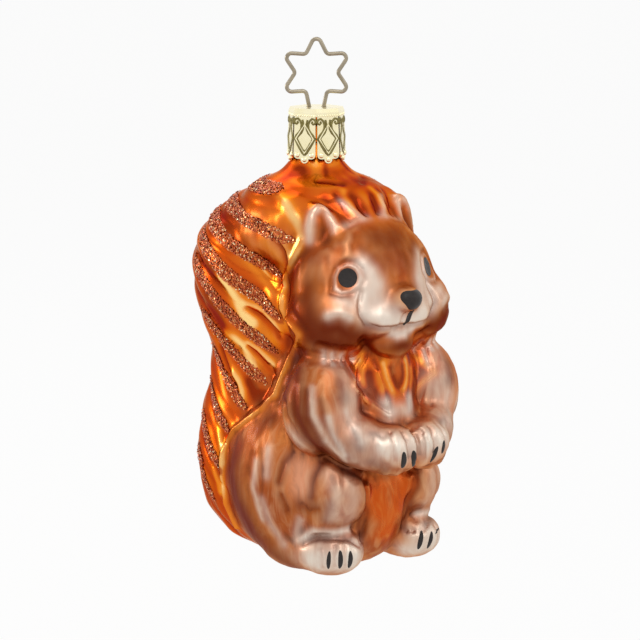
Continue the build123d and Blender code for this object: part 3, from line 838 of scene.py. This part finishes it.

# the fur shows below the chin; on the tail a noise of tone and flame-shaped painted highlights run along its
# locks, with painted highlight on the crowns of the locks and more light painted in front
CHIN_RISE = 44
FLAME_LONG = 14
FLAME_BASE, FLAME_GAIN = 0.29, 0.75
fur_shows = on_body * np.clip((CHIN_RISE - points[:, 2]) / 4, 0.12, 1)
# the front of the tail gets more painted light
front = np.clip((11 - points[:, 1]) / 20, 0, 1)
flame = 0.3 * np.array([noise.noise(Vector((2.3 * f, p[1] / FLAME_LONG, p[2] / FLAME_LONG)))
                        for f, p in zip(phase, points)])
flame += 0.3 * (big_lock - 0.6) + 0.15 * (small_lock - 0.6) + 0.2 * (front - 0.5)
flame *= on_tail + 0.4 * on_mane
for spot in spots(FLAMES):
    flame += spot
amber_spots = sprayed(AMBER_SPOTS)
# the painted shade and highlight are weaker where amber was sprayed
relief *= 1 - 0.6 * amber_spots
# the pearl lacquer, stronger on the high places as a painted highlight
keep("pearl", sprayed(PEARL_SPOTS) * (0.85 + 0.3 * relief))
# dark lacquer, together with painted shade on the shaded sides and in the creases
keep("dark_lacquer_and_shade", sprayed(DARK_LACQUER_AND_SHADE_SPOTS))
keep("glow", sprayed(GLOW_SPOTS))
keep("amber", np.maximum(on_tail, amber_spots) + 0.6 * on_mane)
keep("relief", 0.5 + 0.5 * relief)
keep("fur", fur_shows)
# the renderer has an attribute called flame of its own, so this one is kept under another name: the
# lacquer's tone with its painted highlights and painted shade
keep("tone_and_painted_light", FLAME_BASE + FLAME_GAIN * flame)
keep("bed", bed)
print("relief from", round(float(relief.min()), 2), "to", round(float(relief.max()), 2))

# %% [markdown]
# The neck is drawn out of the same bubble, so it is a plain turned tube. Its outline is spun,
# and its foot is bridged to the hole that was cut in the skin. Down the bore it ends in a floor
# that stays in the dark, where the real one opens into the silvered bubble.

# %% The neck and the finished skin
BORE_SEEN = 66.0
BRIDGE_GAP = 0.3
LIP_STEPS = 9
# the neck's lacquer: amber, its tone with painted light, and its relief
NECK_AMBER, NECK_TONE_AND_LIGHT, NECK_RELIEF = 1.0, 0.5, 0.5
CLEARANCE = 0.01


def hold_in_glass_box(verts):
    """Keeps points a hair inside the box of the CAD's glass."""
    low, high = [to_row.inverted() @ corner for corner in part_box("glass_body")]
    for vert in verts:
        vert.co = [min(max(c, a + CLEARANCE), b - CLEARANCE) for c, a, b in zip(vert.co, low, high)]


skin_data.vertices.foreach_set("co", points.ravel())
skin_data.update()
lip = (NECK_RADIUS - NECK_BORE) / 2
outline = [(NECK_RADIUS, NECK_CUT + BRIDGE_GAP), (NECK_RADIUS, RIM_RISE - lip)]
outline += [(NECK_BORE + lip + lip * math.cos(turn), RIM_RISE - lip + lip * math.sin(turn))
            for turn in np.linspace(0, math.pi, LIP_STEPS)[1:-1]]
outline += [(NECK_BORE, RIM_RISE - lip), (NECK_BORE, BORE_SEEN)]
tube = turned_shape(outline, 72)
bore_end = [edge for edge in tube.edges if edge.is_boundary and edge.verts[0].co.z < NECK_CUT]
bmesh.ops.edgeloop_fill(tube, edges=bore_end)
tube_data = bpy.data.meshes.new("tube")
tube.to_mesh(tube_data)
skin = bmesh.new()
skin.from_mesh(skin_data)
skin.from_mesh(tube_data)
bmesh.ops.bridge_loops(skin, edges=[edge for edge in skin.edges if edge.is_boundary])
bmesh.ops.recalc_face_normals(skin, faces=skin.faces)
layers = [skin.verts.layers.float[name] for name in ("amber", "tone_and_painted_light", "relief")]
for vert in skin.verts:
    if vert.co.z > NECK_CUT + 0.1:
        for layer, value in zip(layers, (NECK_AMBER, NECK_TONE_AND_LIGHT, NECK_RELIEF)):
            vert[layer] = value
hold_in_glass_box(skin.verts)
print("open edges left in the skin:", sum(edge.is_boundary for edge in skin.edges))


def finish(bm, name, body, material, smooth=True):
    """Turns a bmesh in figure millimetres into a piece that rides on a body."""
    bmesh.ops.transform(bm, matrix=to_row, verts=bm.verts)
    for face in bm.faces:
        face.smooth = smooth
    data = bpy.data.meshes.new(name)
    bm.to_mesh(data)
    bm.free()
    data.materials.append(material)
    piece = bpy.data.objects.new(name, data)
    bpy.context.scene.collection.objects.link(piece)
    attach(piece, body)
    print(name, "has", sum(len(f.vertices) - 2 for f in data.polygons), "triangles")
    return piece


# %% [markdown]
# The glass is silvered inside and lacquered outside: satin copper-brown, pearl and amber. A
# satin lacquer over silver is a soft metal with a thin clear coat. The colours meet in streaks
# along the fur, about 2 mm apart, which is a noise drawn out upwards.

# %% Lacquered glass
def new_material(name):
    """An empty node material and its tree."""
    material = bpy.data.materials.new(name)
    material.use_nodes = True
    material.node_tree.nodes.clear()
    return material, material.node_tree


lacquer, tree = new_material("silvered_glass_sprayed_lacquer")
where = add(tree, "ShaderNodeTexCoord").outputs["Object"]
drawn_out = add(tree, "ShaderNodeMapping", {"Vector": where, "Scale": (1.0, 1.0, 0.3)}).outputs[0]
streak = add(tree, "ShaderNodeTexNoise", {
    "Vector": drawn_out, "Scale": 1 / (2.2 * MM), "Detail": 3.0, "Distortion": 1.2}).outputs[0]
cloud = add(tree, "ShaderNodeTexNoise", {
    "Vector": where, "Scale": 1 / (7 * MM), "Detail": 2.0, "Distortion": 0.5}).outputs[0]
kept = {name: add(tree, "ShaderNodeAttribute", attribute_name=name).outputs["Fac"]
        for name in ("pearl", "dark_lacquer_and_shade", "glow", "amber", "relief", "fur", "tone_and_painted_light", "bed")}

# the fur's streaks only lift or sink the places that are furry
LIFT = 0.2
lift = add(tree, "ShaderNodeMapRange", {
    "Value": streak, **SPREAD, "To Min": -LIFT, "To Max": LIFT}).outputs[0]
lift = add(tree, "ShaderNodeMath", {0: lift, 1: kept["fur"]}, operation="MULTIPLY").outputs[0]
height = add(tree, "ShaderNodeMath", {0: kept["relief"], 1: lift}, operation="ADD").outputs[0]
# painted highlight on the high places and painted shade in the low ones, from the relief and the fur's
# streaks
painted_highlight_on_high_places = add(tree, "ShaderNodeMapRange", {
    "Value": height, "From Min": 0.52, "From Max": 1.0, "To Max": 0.45}).outputs[0]
painted_shade_in_low_places = add(tree, "ShaderNodeMapRange", {
    "Value": height, "From Min": 0.46, "From Max": 0.08, "To Max": 0.8}).outputs[0]

# satin body: copper brown, an orange glow, a painted highlight on the high places, then dark lacquer with
# painted shade, and painted shade in the creases
warm = add(tree, "ShaderNodeMapRange", {"Value": cloud, "From Min": 0.35, "From Max": 0.7}).outputs[0]
satin = linear("#A24E22")
for share, code in ((warm, "#C4743A"), (kept["glow"], "#DC7C3E"), (painted_highlight_on_high_places, "#F0BE8E"),
                    (kept["dark_lacquer_and_shade"], "#6C260E"), (painted_shade_in_low_places, "#5A2410")):
    satin = add(tree, "ShaderNodeMix", {SHARE: share, UNDER: satin, OVER: linear(code)},
                data_type="RGBA").outputs[RESULT]

# glossy tail: from dark red to orange to pale gold, by the tone and painted light of the flames, with a
# painted highlight on the high places and painted shade in the creases, and copper under the glitter
dark_flame, mid_flame, pale_flame = [
    add(tree, "ShaderNodeMapRange", {"Value": kept["tone_and_painted_light"], "From Min": start, "From Max": end}).outputs[0]
    for start, end in ((0.0, 0.28), (0.28, 0.62), (0.62, 1.0))]
glossy = linear("#8A2A08")
for share, code in ((dark_flame, "#C85010"), (mid_flame, "#EA8424"), (painted_highlight_on_high_places, "#F8A850"),
                    (painted_shade_in_low_places, "#742408"), (pale_flame, "#FFD488"), (kept["bed"], "#B2501E")):
    glossy = add(tree, "ShaderNodeMix", {SHARE: share, UNDER: glossy, OVER: linear(code)},
                 data_type="RGBA").outputs[RESULT]

# pearl was wiped over both
thin = add(tree, "ShaderNodeMapRange", {
    "Value": lift, "From Min": -LIFT, "From Max": LIFT, "To Min": 0.75, "To Max": 1.1}).outputs[0]
pearl = add(tree, "ShaderNodeMath", {0: kept["pearl"], 1: thin},
            operation="MULTIPLY", use_clamp=True).outputs[0]
colour = satin
for share, over in ((kept["amber"], glossy), (pearl, linear("#E4D8CA"))):
    colour = add(tree, "ShaderNodeMix", {SHARE: share, UNDER: colour, OVER: over},
                 data_type="RGBA").outputs[RESULT]
metal = add(tree, "ShaderNodeMapRange", {"Value": kept["fur"], "To Min": 0.97, "To Max": 0.72}).outputs[0]
rough = add(tree, "ShaderNodeMapRange", {"Value": kept["amber"], "To Min": 0.42, "To Max": 0.24}).outputs[0]
bump = add(tree, "ShaderNodeBump", {"Height": lift, "Strength": 0.25, "Distance": 0.2 * MM}).outputs[0]
shader = add(tree, "ShaderNodeBsdfPrincipled", {
    "Base Color": colour, "Metallic": metal, "Roughness": rough, "Normal": bump,
    "Specular Tint": linear("#E0AC80"), "Coat Weight": 0.05, "Coat Roughness": 0.1})
add(tree, "ShaderNodeOutputMaterial", {"Surface": shader.outputs[0]})
figure = finish(skin, "blown_glass_squirrel", "glass", lacquer)
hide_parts("glass_body")

# %% [markdown]
# Eyes, nose, mouth and claws are touches of black enamel, each a low drop that the brush left.
# A drop is half a flattened ball whose outline is bent to the touch, and every point of it is
# set on the glass, so it follows the form and its edge stays crisp.

# %% Painted touches
PIXELS_PER_MM = 5.35
ENAMEL_THICK, ENAMEL_EDGE = 0.12, 0.02
NOSE_RADIUS = 2.7
LEAST_FACING = 0.45
RAY_LONG = 6
TOUCHES = (
    # x, y, half width, half height in pixels, lean in degrees, three-cornered share, mirrored
    (347.5, 278, 9.2, 9.4, 0, 0.0, True),
    (412.0, 299.5, 14.5, 11.0, 0, 0.16, False),
    (408.4, 317, 2.1, 9.6, -24, 0.0, False),
    (404, 460.5, 2.6, 8.2, -4, 0.0, False),
    (414.6, 459.5, 2.8, 8.0, -3, 0.0, False),
    (434.5, 454.5, 1.9, 8.6, -22, 0.0, False),
    (443.6, 447, 1.3, 6.6, -10, 0.0, False),
    (328.6, 561, 2.1, 9.0, -4, 0.0, False),
    (340.8, 560.5, 2.2, 9.2, -2, 0.0, False),
    (350.5, 560.5, 2.2, 8.6, -6, 0.0, False),
    (420.5, 541, 2.4, 9.4, -12, 0.0, False),
    (430.5, 540.5, 2.0, 9.0, -14, 0.0, False),
    (436.5, 531, 1.2, 4.4, -14, 0.0, False),
)
touches = bmesh.new()
final_skin = skin_tree()
for x, y, half_wide, half_high, lean, corners, mirrored in TOUCHES:
    centre, outwards = cast(final_skin, x, y)
    upwards = outwards.cross(camera_right)
    upwards /= max(upwards.dot(camera_up), LEAST_FACING)
    across = camera_up.cross(outwards)
    across /= max(across.dot(camera_right), LEAST_FACING)
    for side in (1, -1) if mirrored else (1,):
        flip = Vector((side, 1, 1))
        drop = bmesh.ops.create_uvsphere(touches, u_segments=40, v_segments=24, radius=1)["verts"]
        bmesh.ops.delete(touches, geom=[v for v in drop if v.co.z < -1e-4], context="VERTS")
        for vert in [v for v in drop if v.is_valid]:
            swell = 1 + corners * math.sin(3 * math.atan2(vert.co.y, vert.co.x))
            flat = Vector((vert.co.x * half_wide, vert.co.y * half_high))
            flat = Matrix.Rotation(math.radians(lean), 2) @ flat * swell / PIXELS_PER_MM
            above = (centre + across * flat.x + upwards * flat.y + outwards * 2) * flip
            inwards = -outwards * flip
            if corners:
                # the nose wraps round its ball, so its points go out by angles
                turn = Euler((-flat.y / NOSE_RADIUS, 0, flat.x / NOSE_RADIUS)).to_matrix()
                inwards = turn @ Vector((0, 1, 0))
                above = Vector((0, centre.y + NOSE_RADIUS, centre.z)) - inwards * RAY_LONG
            place, normal, _, _ = final_skin.ray_cast(above, inwards, RAY_LONG)
            if place is None:
                place, normal, _, _ = final_skin.find_nearest(above)
            vert.co = place + normal * (ENAMEL_THICK * vert.co.z + ENAMEL_EDGE)
bmesh.ops.recalc_face_normals(touches, faces=touches.faces)
enamel, tree = new_material("black_enamel_brushed")
where = add(tree, "ShaderNodeTexCoord").outputs["Object"]
brush = add(tree, "ShaderNodeTexNoise", {"Vector": where, "Scale": 1 / (0.6 * MM), "Detail": 2.0}).outputs[0]
tone = add(tree, "ShaderNodeMix", {SHARE: brush, UNDER: linear("#1E1A1A"), OVER: linear("#3A3330")},
           data_type="RGBA")
rough = add(tree, "ShaderNodeMapRange", {"Value": brush, **SPREAD, "To Min": 0.35, "To Max": 0.55})
bump = add(tree, "ShaderNodeBump", {"Height": brush, "Strength": 0.3, "Distance": 0.1 * MM})
shader = add(tree, "ShaderNodeBsdfPrincipled", {
    "Base Color": tone.outputs[RESULT], "Roughness": rough.outputs[0], "Normal": bump.outputs[0],
    "Specular IOR Level": 0.25})
add(tree, "ShaderNodeOutputMaterial", {"Surface": shader.outputs[0]})
finish(touches, "painted_eyes_nose_and_claws", "glass", enamel)

# %% [markdown]
# The glitter is cut foil shaken over wet adhesive. Each flake is a real hexagon of 0.3 mm,
# tipped its own way, so that some catch a lamp and their neighbours stay dark. They are spread
# over the ten lines on both sides, thinner towards the ends, with a seed so they always agree.

# %% Glitter
chance = np.random.default_rng(7)
FLAKE = 0.15
FLAKES_PER_MM2 = 24
TRIES_FOR_A_FLAKE = 2.2
LEAST_SIDE_ON = 0.42
HANDFUL = 100
# how wide a line is at its ends, and how fast it widens along its length
END_SHARE, END_GROWTH = 0.35, 5
# a flake's least height over the glass in mm, what chance adds to it, its turn and its tip in radians
LEAST_HEIGHT, MORE_HEIGHT, TURN, TIP = 0.08, 0.14, 6.3, 0.45
glitter = bmesh.new()
glitter.verts.layers.float.new("tint")


def stripe_point(line, along, across):
    """A place on the glitter line from its upper to its lower end, cast onto the tail."""
    upper, upper_rise, lower, lower_rise, wide = line
    start, end = Vector((upper, upper_rise)), Vector((lower, lower_rise))
    run = (end - start).normalized()
    here = start.lerp(end, along) + Vector((-run.y, run.x)) * across
    return final_skin.ray_cast(Vector((-40, here.x, here.y)), Vector((1, 0, 0)))


def pour(flakes):
    """Adds flakes to the glitter a handful at a time, because an operator is slow in a big mesh."""
    handful = bmesh.new()
    tint_layer = handful.verts.layers.float.new("tint")
    for place, normal, spin, tip, tint in flakes:
        sideways = normal.orthogonal().normalized()
        sideways.rotate(Matrix.Rotation(spin, 3, normal))
        tilted = normal.copy()
        tilted.rotate(Matrix.Rotation(tip, 3, sideways))
        turn = tilted.to_track_quat("Z", "Y").to_matrix().to_4x4()
        ring = bmesh.ops.create_circle(handful, cap_ends=True, segments=6, radius=FLAKE,
                                       matrix=Matrix.Translation(place) @ turn)["verts"]
        for vert in ring:
            vert[tint_layer] = tint
    data = bpy.data.meshes.new("handful")
    handful.to_mesh(data)
    handful.free()
    glitter.from_mesh(data)
    bpy.data.meshes.remove(data)


flakes = []
for line in STRIPES:
    upper, upper_rise, lower, lower_rise, wide = line
    length = math.hypot(upper - lower, upper_rise - lower_rise)
    tries = int(length * wide * FLAKES_PER_MM2 * TRIES_FOR_A_FLAKE)
    for _ in range(tries):
        along, across = chance.random(), chance.random() * 2 - 1
        taper = min(1, END_SHARE + END_GROWTH * along, END_SHARE + END_GROWTH * (1 - along))
        if abs(across) > taper:
            continue
        place, normal, _, _ = stripe_point(line, along, across * wide / 2)
        if place is None or chance.random() > LEAST_SIDE_ON / max(abs(normal.x), LEAST_SIDE_ON):
            continue
        place = place + normal * (LEAST_HEIGHT + MORE_HEIGHT * chance.random())
        spin, tip, tint = chance.random() * TURN, chance.normal() * TIP, chance.random()
        flakes.append((place, normal, spin, tip, tint))
        mirror = Vector((-1, 1, 1))
        flakes.append((place * mirror, normal * mirror, spin, tip, tint))
for start in range(0, len(flakes), HANDFUL):
    pour(flakes[start:start + HANDFUL])
hold_in_glass_box(glitter.verts)
foil, tree = new_material("copper_foil_glitter_cut")
tint = add(tree, "ShaderNodeAttribute", attribute_name="tint").outputs["Fac"]
ramp = add(tree, "ShaderNodeValToRGB", {"Fac": tint})
ramp.color_ramp.interpolation = "CONSTANT"
STOPS = ((0.0, "#943416"), (0.18, "#C05226"), (0.5, "#DA7036"), (0.8, "#EC9E5E"), (0.94, "#FBE2B2"))
for index, (stop, code) in enumerate(STOPS):
    element = ramp.color_ramp.elements[index] if index < 2 else ramp.color_ramp.elements.new(stop)
    element.position = stop
    element.color = linear(code)
rough = add(tree, "ShaderNodeMapRange", {"Value": tint, "To Min": 0.45, "To Max": 0.2})
shader = add(tree, "ShaderNodeBsdfPrincipled", {
    "Base Color": ramp.outputs[0], "Metallic": 0.6, "Roughness": rough.outputs[0]})
add(tree, "ShaderNodeOutputMaterial", {"Surface": shader.outputs[0]})
sparkle = finish(glitter, "glitter_flakes", "glass", foil, smooth=False)
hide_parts("glitter_stripes")
print(len(flakes), "flakes")

# %% [markdown]
# The hanger is one spring wire bent to an open six-pointed star, with two legs that spread in
# the neck. A curve with a round bevel is the natural way to make bent wire: the corners are
# rounded first, and the curve is then turned to a mesh.

# %% Wire hanger
CAP_TOP = 84.55
CAP_TURN = math.radians(-42)
STAR_POINT, STAR_NOTCH, STAR_RISE, WIRE = 7.3, 3.9, 6.3, 0.75
STRAIGHT, BEND_STEPS = 89, 10
# aside, up and the radius of the bend, in mm from the middle of the cap's top: one leg of the wire
route = [(-2.2, -8.0, 0.1), (-1.4, -1.2, 1.0), (-1.4, 0.3, 1.0)]
for corner in range(1, 12):
    angle = math.pi + math.pi * corner / 6
    reach, bend = ((STAR_POINT, 0.9), (STAR_NOTCH, 0.8))[corner % 2]
    route.append((reach * math.sin(angle), STAR_RISE + reach * math.cos(angle), bend))
route += [(-x, rise, bend) for x, rise, bend in reversed(route[:3])]


def rounded(corners):
    """The bent wire's centre line: each corner of the route swept by an arc of its own radius."""
    line = [Vector(corners[0][:2])]
    for before, here, after in zip(corners, corners[1:], corners[2:]):
        middle = Vector(here[:2])
        to_before = (Vector(before[:2]) - middle).normalized()
        to_after = (Vector(after[:2]) - middle).normalized()
        half = to_before.angle(to_after) / 2
        if math.degrees(half) > STRAIGHT:
            continue
        centre = middle + (to_before + to_after).normalized() * here[2] / math.sin(half)
        first = middle + to_before * here[2] / math.tan(half) - centre
        last = middle + to_after * here[2] / math.tan(half) - centre
        turn = first.angle_signed(last)
        line += [centre + Matrix.Rotation(-turn * step / BEND_STEPS, 2) @ first
                 for step in range(BEND_STEPS + 1)]
    return line + [Vector(corners[-1][:2])]


turned = Matrix.Translation((0, 0, CAP_TOP)) @ Matrix.Rotation(CAP_TURN, 4, "Z")


def wire_mesh(lines, radius, sides):
    """A bmesh of round wires along lines of points, in figure millimetres."""
    curve = bpy.data.curves.new("wire", "CURVE")
    curve.dimensions = "3D"
    curve.bevel_depth = radius
    curve.bevel_resolution = sides // 4
    curve.use_fill_caps = True
    for line in lines:
        spline = curve.splines.new("POLY")
        spline.points.add(len(line) - 1)
        for point, place in zip(spline.points, line):
            point.co = (*place, 1)
    holder = bpy.data.objects.new("wire", curve)
    bpy.context.scene.collection.objects.link(holder)
    data = bpy.data.meshes.new_from_object(holder.evaluated_get(bpy.context.evaluated_depsgraph_get()))
    bpy.data.objects.remove(holder)
    bm = bmesh.new()
    bm.from_mesh(data)
    return bm


centre_line = [turned @ Vector((p.x, 0, p.y)) for p in rounded(route)]
wire = wire_mesh([centre_line], WIRE / 2, 16)
bmesh.ops.recalc_face_normals(wire, faces=wire.faces)
spring, tree = new_material("antiqued_brass_wire_drawn")
where = add(tree, "ShaderNodeTexCoord").outputs["Object"]
tarnish = add(tree, "ShaderNodeTexNoise", {
    "Vector": where, "Scale": 1 / (2.5 * MM), "Detail": 3.0}).outputs[0]
die_line = add(tree, "ShaderNodeTexNoise", {
    "Vector": where, "Scale": 1 / (0.3 * MM), "Detail": 1.0}).outputs[0]
tone = add(tree, "ShaderNodeMix", {SHARE: tarnish, UNDER: linear("#776B58"), OVER: linear("#BDB29D")},
           data_type="RGBA")
rough = add(tree, "ShaderNodeMapRange", {"Value": tarnish, **SPREAD, "To Min": 0.3, "To Max": 0.42})
bump = add(tree, "ShaderNodeBump", {"Height": die_line, "Strength": 0.05, "Distance": 0.03 * MM})
shader = add(tree, "ShaderNodeBsdfPrincipled", {
    "Base Color": tone.outputs[RESULT], "Metallic": 0.9, "Roughness": rough.outputs[0],
    "Normal": bump.outputs[0]})
add(tree, "ShaderNodeOutputMaterial", {"Surface": shader.outputs[0]})
hanger = finish(wire, "star_wire_hanger", "hanger", spring)
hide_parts("hanger")

# %% [markdown]
# The cap is thin stamped brass sheet, folded down in seven flat panels. Its body comes from the CAD and
# keeps its slits and scallops. What the die embossed is added as a piece of its own, and a painted shade
# beside its lines as another: a dark wire sunk behind each line. Each panel has a double line that ends in
# two scrolls, three beads, and a beaded band on top.

# %% Embossed cap
PANELS = 7
SKIRT_BOTTOM, SKIRT_TOP, SKIRT_HIGH, CAP_HIGH = 5.7, 5.3, 9.3, 10.0
WIRE_LINE, SUNK, DIE_LINE = 0.13, 0.14, 0.275
SKIRT_BEADS, SKIRT_BEAD = ((-1.45, 1.5), (0, 0.72), (1.45, 1.5)), (0.5, 0.3, 0.5, 1)
BAND_BEADS, BAND_STEP, BAND_RISE, BAND_BEAD = 9, 0.47, 8.75, (0.17, 0.12, 0.24, 1)
lean = math.atan2((SKIRT_BOTTOM - SKIRT_TOP) * math.cos(math.pi / PANELS), SKIRT_HIGH)

# aside and up from the middle of a panel's lower edge, in mm
outer_line = [(0.0, 1.5), (0.5, 1.95), (1.25, 3.1), (2.05, 4.5), (1.75, 5.1), (1.1, 5.75), (0.75, 6.4),
              (0.7, 7.1), (0.95, 7.8), (1.4, 8.2), (1.9, 8.1), (2.15, 7.7), (2.0, 7.3), (1.65, 7.2),
              (1.4, 7.45), (1.55, 7.75)]
inner_line = [(0.0, 2.15), (0.4, 2.5), (1.0, 3.45), (1.6, 4.5), (1.3, 5.0), (0.7, 5.6), (0.35, 6.3),
              (0.3, 7.1), (0.5, 8.0)]
raised_lines, shade_lines = [], []
beads = bmesh.new()
for panel in range(PANELS):
    face = (Matrix.Translation((0, 0, CAP_TOP - CAP_HIGH))
            @ Matrix.Rotation(CAP_TURN + 2 * math.pi / PANELS * (panel + 0.5), 4, "Z")
            @ Matrix.Translation((0, -SKIRT_BOTTOM * math.cos(math.pi / PANELS), 0))
            @ Matrix.Rotation(-lean, 4, "X"))
    for side in (-1, 1):
        for drawn in (outer_line, inner_line):
            raised_lines.append([face @ Vector((side * u, 0.0, v)) for u, v in drawn])
            # the same lines sunk a little and thicker, as painted shade beside them
            shade_lines.append([face @ Vector((side * u, SUNK, v)) for u, v in drawn])
    for u, v in SKIRT_BEADS:
        place = face @ Matrix.Translation((u, 0, v)) @ Matrix.Diagonal(SKIRT_BEAD)
        bmesh.ops.create_uvsphere(beads, u_segments=16, v_segments=10, radius=1, matrix=place)
    for index in range(BAND_BEADS):
        u = (index - BAND_BEADS // 2) * BAND_STEP
        place = face @ Matrix.Translation((u, 0, BAND_RISE)) @ Matrix.Diagonal(BAND_BEAD)
        bmesh.ops.create_uvsphere(beads, u_segments=10, v_segments=6, radius=1, matrix=place)
embossing = wire_mesh(raised_lines, WIRE_LINE, 8)
beads_data = bpy.data.meshes.new("beads")
beads.to_mesh(beads_data)
embossing.from_mesh(beads_data)
brass, tree = new_material("pale_brass_sheet_stamped")
where = add(tree, "ShaderNodeTexCoord").outputs["Object"]
rolled = add(tree, "ShaderNodeTexNoise", {
    "Vector": where, "Scale": 1 / (1.2 * MM), "Detail": 3.0}).outputs[0]
patina = add(tree, "ShaderNodeTexNoise", {
    "Vector": where, "Scale": 1 / (4 * MM), "Detail": 2.0}).outputs[0]
tone = add(tree, "ShaderNodeMix", {SHARE: patina, UNDER: linear("#F2E4AE"), OVER: linear("#FFF8D8")},
           data_type="RGBA")
rough = add(tree, "ShaderNodeMapRange", {"Value": rolled, **SPREAD, "To Min": 0.2, "To Max": 0.32})
bump = add(tree, "ShaderNodeBump", {"Height": rolled, "Strength": 0.06, "Distance": 0.05 * MM})
shader = add(tree, "ShaderNodeBsdfPrincipled", {
    "Base Color": tone.outputs[RESULT], "Metallic": 0.9, "Roughness": rough.outputs[0],
    "Normal": bump.outputs[0]})
add(tree, "ShaderNodeOutputMaterial", {"Surface": shader.outputs[0]})
finish(embossing, "cap_embossing", "cap", brass)
# painted shade along the die lines: a dark brass tone
cap_shade_material, tree = new_material("painted_shade_in_brass_die_lines")
where = add(tree, "ShaderNodeTexCoord").outputs["Object"]
shade_tone = add(tree, "ShaderNodeTexNoise", {
    "Vector": where, "Scale": 1 / (0.8 * MM), "Detail": 2.0}).outputs[0]
tone = add(tree, "ShaderNodeMix", {SHARE: shade_tone, UNDER: linear("#5E5428"), OVER: linear("#978B52")},
           data_type="RGBA")
rough = add(tree, "ShaderNodeMapRange", {"Value": shade_tone, **SPREAD, "To Min": 0.4, "To Max": 0.55})
shader = add(tree, "ShaderNodeBsdfPrincipled", {
    "Base Color": tone.outputs[RESULT], "Metallic": 0.7, "Roughness": rough.outputs[0]})
add(tree, "ShaderNodeOutputMaterial", {"Surface": shader.outputs[0]})
finish(wire_mesh(shade_lines, DIE_LINE, 8), "cap_die_line_shade", "cap", cap_shade_material)
cap_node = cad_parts["crown_cap"]
for index in range(len(cap_node.material_slots)):
    cap_node.material_slots[index].material = brass
